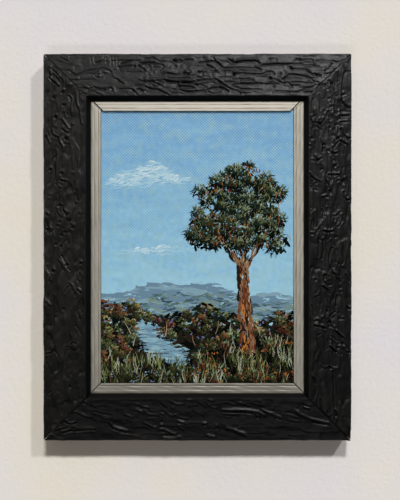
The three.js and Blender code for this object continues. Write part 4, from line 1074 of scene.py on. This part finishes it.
# Each layer is a list of passes: how many strokes, where they may lie, their length, width, turn
# (degrees, anticlockwise from lying across) and thickness, the size of the patches that their
# tones drift in, and their colours from dark to light with how much of each. A pass of crowns
# has the crowns' count, their radii and the strokes in each as its first entry, and no turn or patches.
layers = [
    ("clouds", [
        (330, lambda x, h: massAt(x, h, clouds) > 0.4, (5, 12), (0.8, 1.8), (-10, 12), (0.015, 0.03), (18, 6),
         "cloudShade:1"),
        (200, lambda x, h: massAt(x, h - 1, clouds) > 0.7, (3, 8), (0.8, 1.6), (-16, 22), (0.02, 0.04),
         (12, 5), "cloudShade:4 cloudDim:4"),
        (70, lambda x, h: massAt(x, h - 2.5, clouds) > 0.95, (2, 6), (0.7, 1.3), (-20, 35), (0.03, 0.05),
         (8, 5), "cloudDim:4 cloud:3"),
    ]),
    ("far_land", [
        (760, lambda x, h: (h < farRidge(x)) & (h > 40), (4, 10), (1.1, 2.0), (-10, 10), (0.02, 0.04),
         (26, 6), "farBlue:7 haze:2"),
        (520, lambda x, h: (h < farRidge(x - 9) - 5.5) & (h > 40), (2.5, 6), (0.8, 1.6), (-18, 16),
         (0.02, 0.05), (14, 4), "slate:3 farGreen:6 farBlue:2 sage:1"),
    ]),
    ("bushes", [
        (900, onLand, (3.5, 8), (1.8, 3.2), (-40, 60), (0.03, 0.07), (16, 9),
         "blackGreen:7 umber:6 deepGreen:3"),
        (260, onPond, (5, 12), (0.8, 1.6), (-2, 2), (0.015, 0.03), (16, 3), "farBlue:2 water:6 shallows:3"),
        (60, lambda x, h: onPond(x, h) & (np.abs(x - pondMiddle(h)) > 3 + (42 - h) * 0.32), (3, 7),
         (0.5, 1.0), (-3, 3), (0.02, 0.04), (9, 4), "deepGreen:3 olive:2 slate:2"),
        ((44, (3.0, 6.5), 44), onLand, (0.9, 2.4), (0.5, 1.1), None, (0.04, 0.09), None,
         "blackGreen:4 deepGreen:4 darkTeal:2 olive:4 moss:5 sage:2 leaf:3 grey:2"),
        ((38, (2.5, 5.5), 40), onLand, (0.9, 2.2), (0.5, 1.1), None, (0.05, 0.1), None,
         "blackGreen:3 umber:5 olive:5 moss:4 tan:3 yellowGreen:4 cream:2"),
        ((30, (2.0, 5.0), 36), onLand, (0.8, 2.0), (0.5, 1.0), None, (0.06, 0.11), None,
         "blackGreen:3 umber:6 rust:6 sienna:5 tan:3 sage:1"),
        ((26, (2.2, 4.5), 24), onLand, (0.8, 1.8), (0.5, 1.0), None, (0.07, 0.12), None,
         "umber:3 olive:5 moss:3 sienna:3 tan:3 yellowGreen:2 cream:2"),
        (70, onLand, (0.8, 1.8), (0.6, 1.1), (0, 180), (0.08, 0.13), (9, 7), "violet:1"),
        (36, lambda x, h: onLand(x, h) & (h < 36), (5, 11), (0.3, 0.5), (62, 122), (0.09, 0.14), (9, 9),
         "tan:2 grey:2 cream:1"),
    ]),
    ("oak", [
        (210, lambda x, h: onLimb(x, h, trunk), (3, 8), (1.1, 2.0), (84, 102), (0.03, 0.06), (5, 30),
         "umber:5 sienna:3 rust:1"),
        (120, lambda x, h: onLimb(x, h, trunk) & onLimb(x - 1.6, h, trunk), (2.5, 6), (0.7, 1.4), (80, 106),
         (0.05, 0.09), (5, 20), "sienna:4 tan:5 amber:2"),
        (50, lambda x, h: onLimb(x, h, trunk) & ~onLimb(x + 2.2, h, trunk), (2, 5), (0.6, 1.1), (84, 102),
         (0.07, 0.11), (5, 20), "tan:3 cream:3 amber:1"),
        (110, lambda x, h: sum(onLimb(x, h, limb) for limb in limbsLeft) > 0, (3, 7), (0.6, 1.2), (108, 138),
         (0.05, 0.1), (8, 8), "umber:5 sienna:2 tan:2"),
        (110, lambda x, h: sum(onLimb(x, h, limb) for limb in limbsRight) > 0, (3, 7), (0.6, 1.2), (50, 82),
         (0.05, 0.1), (8, 8), "umber:5 sienna:2 tan:2"),
        (620, lambda x, h: massAt(x, h + 2, oak) > 0.62, (2, 5), (0.8, 1.8), (0, 180), (0.04, 0.09), (12, 9),
         "blackGreen:9 deepGreen:4"),
        ((92, (3.2, 6.8), 50), lambda x, h: massAt(x, h, oak) > 0.5, (1.6, 4.6), (0.35, 0.8), None,
         (0.06, 0.13), None, "blackGreen:9 deepGreen:4 darkTeal:4 olive:3 moss:3 sage:4 leaf:2 grey:2"),
        (260, lambda x, h: (massAt(x, h, oak) > 0.6) & (massAt(x, h - 5, oak) < 1.3), (1.4, 3.6), (0.3, 0.6),
         (20, 130), (0.09, 0.16), (8, 8), "sage:4 leaf:2 grey:4 yellowGreen:1"),
        (130, lambda x, h: (massAt(x, h, oak) > 0.5) & (massAt(x, h + 7, oak) < 0.9), (1.4, 4.0), (0.4, 0.8),
         (60, 120), (0.09, 0.16), (9, 6), "rust:3 sienna:2 orange:3 amber:2"),
        (70, lambda x, h: (massAt(x, h, oak) > 0.45) & (massAt(x, h, oak) < 0.9), (0.7, 1.6), (0.5, 1.0),
         (0, 180), (0.1, 0.16), (9, 6), "skyGap:1"),
    ]),
    ("near_bank", [
        (800, lambda x, h: h < bankTop(x), (3, 7), (1.1, 2.1), (50, 130), (0.04, 0.08), (12, 8),
         "blackGreen:8 umber:5 deepGreen:3"),
        ((44, (3.0, 5.5), 42), lambda x, h: (h < bankTop(x) - 2), (1.2, 3.2), (0.45, 0.9), None, (0.06, 0.13),
         None, "blackGreen:5 umber:4 deepGreen:4 olive:4 moss:4 sage:2 leaf:2 tan:1"),
        (620, lambda x, h: h < bankTop(x) + 3, (4, 11), (0.3, 0.6), (60, 120), (0.08, 0.15), (10, 20),
         "blackGreen:3 deepGreen:3 olive:4 moss:4 leaf:3 yellowGreen:1 grey:1"),
        (200, lambda x, h: (h < bankTop(x) + 1) & (x > -6) & (np.sin(x / 5) + np.sin(h / 3.3) > 0),
         (0.8, 1.9), (0.6, 1.2), (0, 180), (0.1, 0.18), (8, 5), "rust:7 sienna:4 orange:1 amber:1"),
        (54, lambda x, h: (h < bankTop(x) + 2) & (h > 2), (4, 10), (0.25, 0.45), (68, 112), (0.12, 0.18),
         (9, 9), "tan:2 grey:2 cream:2"),
        (50, lambda x, h: (h < bankTop(x) - 2) & (x < 4), (0.7, 1.5), (0.5, 0.9), (0, 180), (0.12, 0.18),
         (8, 5), "violet:4 mist:2"),
    ]),
]


# One dab of paint, lying along x from -1 to 1: a crowned blade, blunt where the brush was set down,
# with its underside drawn to a point that is sunk in the canvas
def strokeShape():
    bm = bmesh.new()
    bmesh.ops.create_grid(bm, x_segments=4, y_segments=2, size=1)
    for vert in bm.verts:
        s, c = vert.co.x, vert.co.y
        vert.co.z = (1 - c * c) * (0.8 + 0.2 * sin(3 * s)) * (1 - s ** 4)
        vert.co.y = c * (0.15 + 0.85 * (1 - abs(0.6 * s + 0.3) ** 2.5))
    under = bmesh.ops.holes_fill(bm, edges=[e for e in bm.edges if e.is_boundary], sides=0)
    for vert in bmesh.ops.poke(bm, faces=under["faces"])["verts"]:
        vert.co.z = -1
    bmesh.ops.recalc_face_normals(bm, faces=bm.faces)
    bm.verts.index_update()
    points = np.array([v.co[:] for v in bm.verts])
    faces = [[v.index for v in f.verts] for f in bm.faces]
    bm.free()
    return points, faces


dab, dabFaces = strokeShape()


def paintLayer(name, parts, seed, start):
    v = valley
    rng = np.random.default_rng(seed)
    used = sorted({word.split(":")[0] for part in parts for word in part[-1].split()})
    allPoints, allSlots, allBrush = [], [], []
    lift = start
    for count, inside, lengths, widths, turns, heights, drift, mix in parts:
        if turns is None:
            x, h, turn, tone = crowns(rng, inside, *count)
            count = len(x)
        else:
            x, h = np.zeros(0), np.zeros(0)
            while len(x) < count:
                tryX, tryH = (rng.uniform(*limits, 4 * count) for limits in v["sown"])
                keep = inside(tryX, tryH)
                x, h = np.concatenate([x, tryX[keep]])[:count], np.concatenate([h, tryH[keep]])[:count]
            turn = np.radians(rng.uniform(*turns, count))
            tone = patches(rng, x, h, *drift) + rng.uniform(-v["toneDrift"], v["toneDrift"], count)
        words = [word.split(":") for word in mix.split()]
        shares = np.cumsum([float(w[1]) for w in words])
        pick = np.searchsorted(shares / shares[-1], np.clip(tone, 0, 0.999))
        slots = np.array([used.index(w[0]) for w in words])[pick]
        length, width = rng.uniform(*lengths, count), rng.uniform(*widths, count)
        rise = rng.uniform(*heights, count)
        bow = rng.uniform(-v["bow"], v["bow"], count) * length
        s, across = dab[None, :, 0] * length[:, None] / 2, dab[None, :, 1] * width[:, None] / 2
        c = across + bow[:, None] * (1 - dab[None, :, 0] ** 2)
        px = x[:, None] + s * np.cos(turn)[:, None] - c * np.sin(turn)[:, None]
        pz = h[:, None] + v["bottom"] + s * np.sin(turn)[:, None] + c * np.cos(turn)[:, None]
        # later strokes in a pass lie a little over the earlier ones
        order = np.linspace(0, v["lift"], count)[:, None]
        pt = canvas["front"] - v["start"] + lift + order + dab[None, :, 2] * rise[:, None]
        pt = np.where(dab[None, :, 2] < 0, canvas["front"] - v["sunk"], pt)
        px, pz = (np.clip(place, -limit, limit) for place, limit in zip((px, pz), v["limit"]))
        hidden = (np.abs(px) > v["underLip"][0]) | (np.abs(pz) > v["underLip"][1])
        pt = np.where(hidden, np.minimum(pt, v["edgeTop"]), pt)
        allPoints.append(np.stack([px, backPlane - pt, pz + middleZ], axis=2).reshape(-1, 3) * mm)
        allSlots.append(slots)
        shift = rng.uniform(0, 50, count)[:, None] * mm
        brushed = [s * mm + shift, across * mm + shift, np.zeros_like(s)]
        allBrush.append(np.stack(brushed, axis=2).reshape(-1, 3))
        lift += v["lift"]
    points, slots, brush = np.vstack(allPoints), np.concatenate(allSlots), np.vstack(allBrush)
    step = len(dab)
    faces = [[i + k * step for i in face] for k in range(len(slots)) for face in dabFaces]
    mesh = bpy.data.meshes.new("paint_" + name)
    mesh.from_pydata(points.tolist(), [], faces)
    mesh.polygons.foreach_set("material_index", np.repeat(slots, len(dabFaces)).astype(np.int32))
    setVectors(mesh, "brush", brush)
    bm = bmesh.new()
    bm.from_mesh(mesh)
    bmesh.ops.recalc_face_normals(bm, faces=bm.faces)
    bm.to_mesh(mesh)
    bm.free()
    makePiece("paint_" + name, mesh, [oilPaints[colour] for colour in used])
    print("painted", name, len(slots), "strokes")
    return lift


# Oil colour straight from the brush: hardly any shine, with bristle lines along each stroke. They
# are drawn 0.35 mm apart, coarser than real ones, so that they show.
def oilPaint(name, colour):
    material, tree, shader = startMaterial("oil paint, " + name, colour, 0.48, specular=0.015)
    brush = addNode(tree, "Attribute", {"attribute_name": "brush"}).outputs["Vector"]
    stretch = addNode(tree, "Mapping", {"Scale": (1 / (6 * mm), 1 / (0.35 * mm), 1)}, {"Vector": brush})
    bristles = addNode(tree, "TexNoise", {"Scale": 1.0, "Detail": 2.0}, {"Vector": stretch})
    threads = weave(tree, canvas["threads"])[0]
    height = addNode(tree, "Math", {"operation": "MULTIPLY_ADD", 1: 0.8}, {0: bristles, 2: threads})
    bump = addNode(tree, "Bump", {"Strength": 0.45, "Distance": 0.12 * mm}, {"Height": height})
    link(tree, shader, {"Normal": bump})
    return material


oilPaints = {name: oilPaint(name, colour) for name, colour in paints.items()}
layerStart = 0.0
for seed, (name, parts) in enumerate(layers):
    layerStart = paintLayer(name, parts, seed + 60, layerStart)
print("picture painted")


# Hardboard behind the canvas: smooth dark brown, pressed from fibres that show as fine flecks
def hardboard():
    material, tree, shader = startMaterial("hardboard", "#6e4d31", 0.6)
    where = addNode(tree, "TexCoord").outputs["Object"]
    fibres = addNode(tree, "TexNoise", {"Scale": 1 / (1.6 * mm), "Detail": 6.0, "Roughness": 0.7},
                     {"Vector": where})
    clouds = addNode(tree, "TexNoise", {"Scale": 1 / (28 * mm), "Detail": 3.0}, {"Vector": where})
    mixed = addNode(tree, "Math", {"operation": "MULTIPLY_ADD", 1: 0.8}, {0: fibres, 2: clouds})
    colour = addNode(tree, "ValToRGB", {"stops": [
        (0.6, "#4f3521"), (0.85, "#6e4d31"), (1.1, "#8a6644")]}, {"Fac": mixed})
    bump = addNode(tree, "Bump", {"Strength": 0.35, "Distance": 0.1 * mm}, {"Height": fibres})
    link(tree, shader, {"Base Color": colour, "Normal": bump})
    return material


# Plated sheet metal: bright, with fine scratches one way and duller finger-marked patches
def platedSheet(name, colour, dark, low, high):
    material, tree, shader = startMaterial(name, colour, low, 1.0)
    where = addNode(tree, "TexCoord").outputs["Object"]
    stretch = addNode(tree, "Mapping", {"Scale": (1 / (9 * mm), 1 / (0.5 * mm), 1 / (0.25 * mm))},
                      {"Vector": where})
    scratches = addNode(tree, "TexNoise", {"Scale": 1.0, "Detail": 3.0}, {"Vector": stretch})
    marks = addNode(tree, "TexNoise", {"Scale": 1 / (3 * mm), "Detail": 5.0}, {"Vector": where})
    tone = addNode(tree, "ValToRGB", {"stops": [(0.35, dark), (0.6, colour)]}, {"Fac": marks})
    dull = addNode(tree, "MapRange", {1: 0.3, 2: 0.7, 3: low, 4: high}, {0: marks})
    bump = addNode(tree, "Bump", {"Strength": 0.25, "Distance": 0.05 * mm}, {"Height": scratches})
    link(tree, shader, {"Base Color": tone, "Roughness": dull, "Normal": bump})
    return material


# Pressed wool felt: charcoal, matt and furry
def blackFelt():
    material, tree, shader = startMaterial("wool felt", "#2b2a2a", 0.95)
    shader.inputs["Sheen Weight"].default_value = 0.4
    where = addNode(tree, "TexCoord").outputs["Object"]
    fibres = addNode(tree, "TexNoise", {"Scale": 1 / (0.5 * mm), "Detail": 6.0, "Roughness": 0.75},
                     {"Vector": where})
    colour = addNode(tree, "ValToRGB", {"stops": [(0.3, "#1d1c1c"), (0.7, "#3c3b3b")]}, {"Fac": fibres})
    bump = addNode(tree, "Bump", {"Strength": 0.8, "Distance": 0.25 * mm}, {"Height": fibres})
    link(tree, shader, {"Base Color": colour, "Normal": bump})
    return material


finishes = {
    "panel_board": hardboard(),
    "sawtooth_hanger": platedSheet("brass-plated steel", "#c9a356", "#9a7638", 0.28, 0.42),
    "hanger_nail": platedSheet("brass-plated steel nail", "#c2a05a", "#8c6c38", 0.25, 0.4),
    "wedge_nail": platedSheet("zinc-plated steel", "#b4b6b8", "#85878a", 0.3, 0.45),
    "slip_point": platedSheet("blued spring steel", "#8d8f93", "#5c5e63", 0.32, 0.5),
    "bumper": blackFelt(),
}
finishes["panel_point"] = finishes["slip_point"]
for nodeName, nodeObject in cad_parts.items():
    for start, finish in finishes.items():
        if nodeName.startswith(start):
            for materialSlot in nodeObject.material_slots:
                materialSlot.material = finish
print("fittings finished")


stage = {
    "wallHalf": 0.42, "wallTop": 0.36, "wallGap": 0.0002, "floorDrop": 1.5, "floorWide": 16,
    "worldLow": 0.03, "worldHigh": 0.4, "worldBack": 0.5, "worldSeen": 0.55,
    # Soft lights: what each one falls on, its place from the frame's middle, its size, its power and
    # its colour. The wall and the pieces have their own, so that each is lit from its best side.
    "lights": {
        "wall wash": ("wall and floor", (1.2, -14.1, 12.0), (2.6, 1.6), 2370.0, "#fffdfa"),
        "wall side": ("wall", (8.7, -12.9, 11.1), (1.3, 1.3), 1270.0, "#fffefd"),
        "wall lift": ("wall", (-0.3, -2.6, -1.6), (1.6, 0.8), 27.0, "#fff3ec"),
        "rails high": ("rails", (-0.2, -3.1, 3.7), (1.8, 1.6), 18.0, "#fffdf8"),
        "left": ("rails and liners", (-2.4, -2.6, 1.5), (1.2, 1.2), 32.0, "#fffaf0"),
        "rails corner": ("rails", (0.17, -0.34, 0.38), (0.2, 0.2), 2.35, "#fbfbff"),
        "low": ("all but liners", (0.2, -3.2, -1.6), (1.2, 1.0), 11.5, "#fdfaff"),
        "picture": ("all but rails", (0.25, -4.7, 1.6), (1.0, 1.9), 171.0, "#fffcf8"),
        "canvas fill": ("painted", (-0.5, -2.6, -1.9), (1.6, 1.0), 40.0, "#fdfcff"),
        "back fill": ("everything", (-1.2, 1.7, 1.0), (1.2, 1.2), 24.0, "#ffffff"),
    },
}


def stagePlane(name, width, depth, place, turn, material):
    mesh = bpy.data.meshes.new(name)
    bm = bmesh.new()
    bmesh.ops.create_grid(bm, x_segments=1, y_segments=1, size=1)
    bmesh.ops.scale(bm, vec=(width / 2, depth / 2, 1), verts=bm.verts)
    bmesh.ops.rotate(bm, cent=(0, 0, 0), matrix=Matrix.Rotation(turn, 3, "X"), verts=bm.verts)
    bmesh.ops.translate(bm, vec=place, verts=bm.verts)
    bm.to_mesh(mesh)
    bm.free()
    mesh.materials.append(material)
    plane = bpy.data.objects.new(name, mesh)
    bpy.context.scene.collection.objects.link(plane)
    return plane


# A light with no receivers falls on everything
def areaLight(name, receivers, place, size, power, colour):
    data = bpy.data.lights.new(name, "AREA")
    data.shape = "RECTANGLE"
    data.size, data.size_y = size
    data.energy = power
    data.color = toLinear(colour)[:3]
    light = bpy.data.objects.new(name, data)
    light.location = frameMiddle + Vector(place)
    light.rotation_euler = (-Vector(place)).to_track_quat("-Z", "Y").to_euler()
    bpy.context.scene.collection.objects.link(light)
    if receivers:
        group = bpy.data.collections.new("lit by " + name)
        for receiver in receivers:
            group.objects.link(receiver)
        light.light_linking.receiver_collection = group


# Painted plaster: warm white, matt, rolled on so that it has a fine pebbled skin
def wallPaint():
    material, tree, shader = startMaterial("painted plaster", "#dcd6cd", 0.8, specular=0.2)
    where = addNode(tree, "TexCoord").outputs["Object"]
    clouds = addNode(tree, "TexNoise", {"Scale": 1 / (130 * mm), "Detail": 3.0}, {"Vector": where})
    colour = addNode(tree, "ValToRGB", {"stops": [
        (0.35, "#dbd8dd"), (0.5, "#dedbd8"), (0.65, "#dfdbcf")]}, {"Fac": clouds})
    pebbles = addNode(tree, "TexNoise", {"Scale": 1 / (3.2 * mm), "Detail": 4.0, "Roughness": 0.6},
                      {"Vector": where})
    bump = addNode(tree, "Bump", {"Strength": 0.7, "Distance": 0.35 * mm}, {"Height": pebbles})
    link(tree, shader, {"Base Color": colour, "Normal": bump})
    # seen from the front only, so that the back of the picture can be looked at
    facing = addNode(tree, "NewGeometry").outputs["Backfacing"]
    clear = addNode(tree, "BsdfTransparent")
    oneSided = addNode(tree, "MixShader", {}, {0: facing, 1: shader, 2: clear})
    link(tree, tree.nodes["Material Output"], {"Surface": oneSided})
    return material


def floorPaint():
    material, tree, shader = startMaterial("painted floor", "#d8d4cc", 0.6)
    where = addNode(tree, "TexCoord").outputs["Object"]
    clouds = addNode(tree, "TexNoise", {"Scale": 1 / (400 * mm), "Detail": 3.0}, {"Vector": where})
    colour = addNode(tree, "ValToRGB", {"stops": [(0.3, "#d5d1c9"), (0.7, "#dad6ce")]}, {"Fac": clouds})
    link(tree, shader, {"Base Color": colour})
    return material


# A room with most of its light high up in front of the wall, and evenly pale behind it
def lightRoom():
    world = bpy.data.worlds.new("studio")
    bpy.context.scene.world = world
    world.use_nodes = True
    tree = world.node_tree
    background = tree.nodes["Background"]
    background.inputs["Color"].default_value = toLinear("#f4f1ec")
    direction = addNode(tree, "TexCoord").outputs["Generated"]
    axes = addNode(tree, "SeparateXYZ", {}, {0: direction})
    glow = addNode(tree, "MapRange",
                   {1: 0.0, 2: 0.85, 3: stage["worldLow"], 4: stage["worldHigh"]}, {0: axes.outputs["Z"]})
    behind = addNode(tree, "MapRange", {1: 0.0, 2: 0.12}, {0: axes.outputs["Y"]})
    strength = addNode(tree, "Mix", {"data_type": "FLOAT", 3: stage["worldBack"]}, {0: behind, 2: glow})
    # the eye sees it evenly pale all round, while the black frame still mirrors a darker room
    seen = addNode(tree, "LightPath").outputs["Is Camera Ray"]
    shown = addNode(tree, "Mix", {"data_type": "FLOAT", 3: stage["worldSeen"]}, {0: seen, 2: strength})
    link(tree, background, {"Strength": shown})


def buildStage():
    floorHeight = cadBox[0].z - stage["floorDrop"]
    high = stage["wallTop"] - floorHeight
    plane = stagePlane("wall", 2 * stage["wallHalf"], high, (0, stage["wallGap"], floorHeight + high / 2),
                       pi / 2, wallPaint())
    plane.visible_shadow = False
    ground = stagePlane("floor", stage["floorWide"], stage["floorWide"], (0, 0, floorHeight), 0, floorPaint())
    ground.visible_diffuse, ground.visible_glossy = False, False
    pieces = [o for o in bpy.context.scene.objects if o.type == "MESH" and o not in (plane, ground)]
    rails = [piece for piece in pieces if piece.name.startswith("moulding")]
    liners = [piece for piece in pieces if piece.name.startswith("liner")]
    groups = {
        "wall": [plane], "wall and floor": [plane, ground],
        "rails": rails, "rails and liners": rails + liners,
        "painted": [piece for piece in pieces if piece.name.startswith(("canvas_panel", "paint"))],
        "all but liners": [piece for piece in pieces if piece not in liners],
        "all but rails": [piece for piece in pieces if piece not in rails] + [ground],
        "everything": [],
    }
    for name, (group, *settings) in stage["lights"].items():
        areaLight(name, groups[group], *settings)
    lightRoom()
    bpy.context.scene.view_settings.view_transform = "Standard"


buildStage()
print("stage lit")
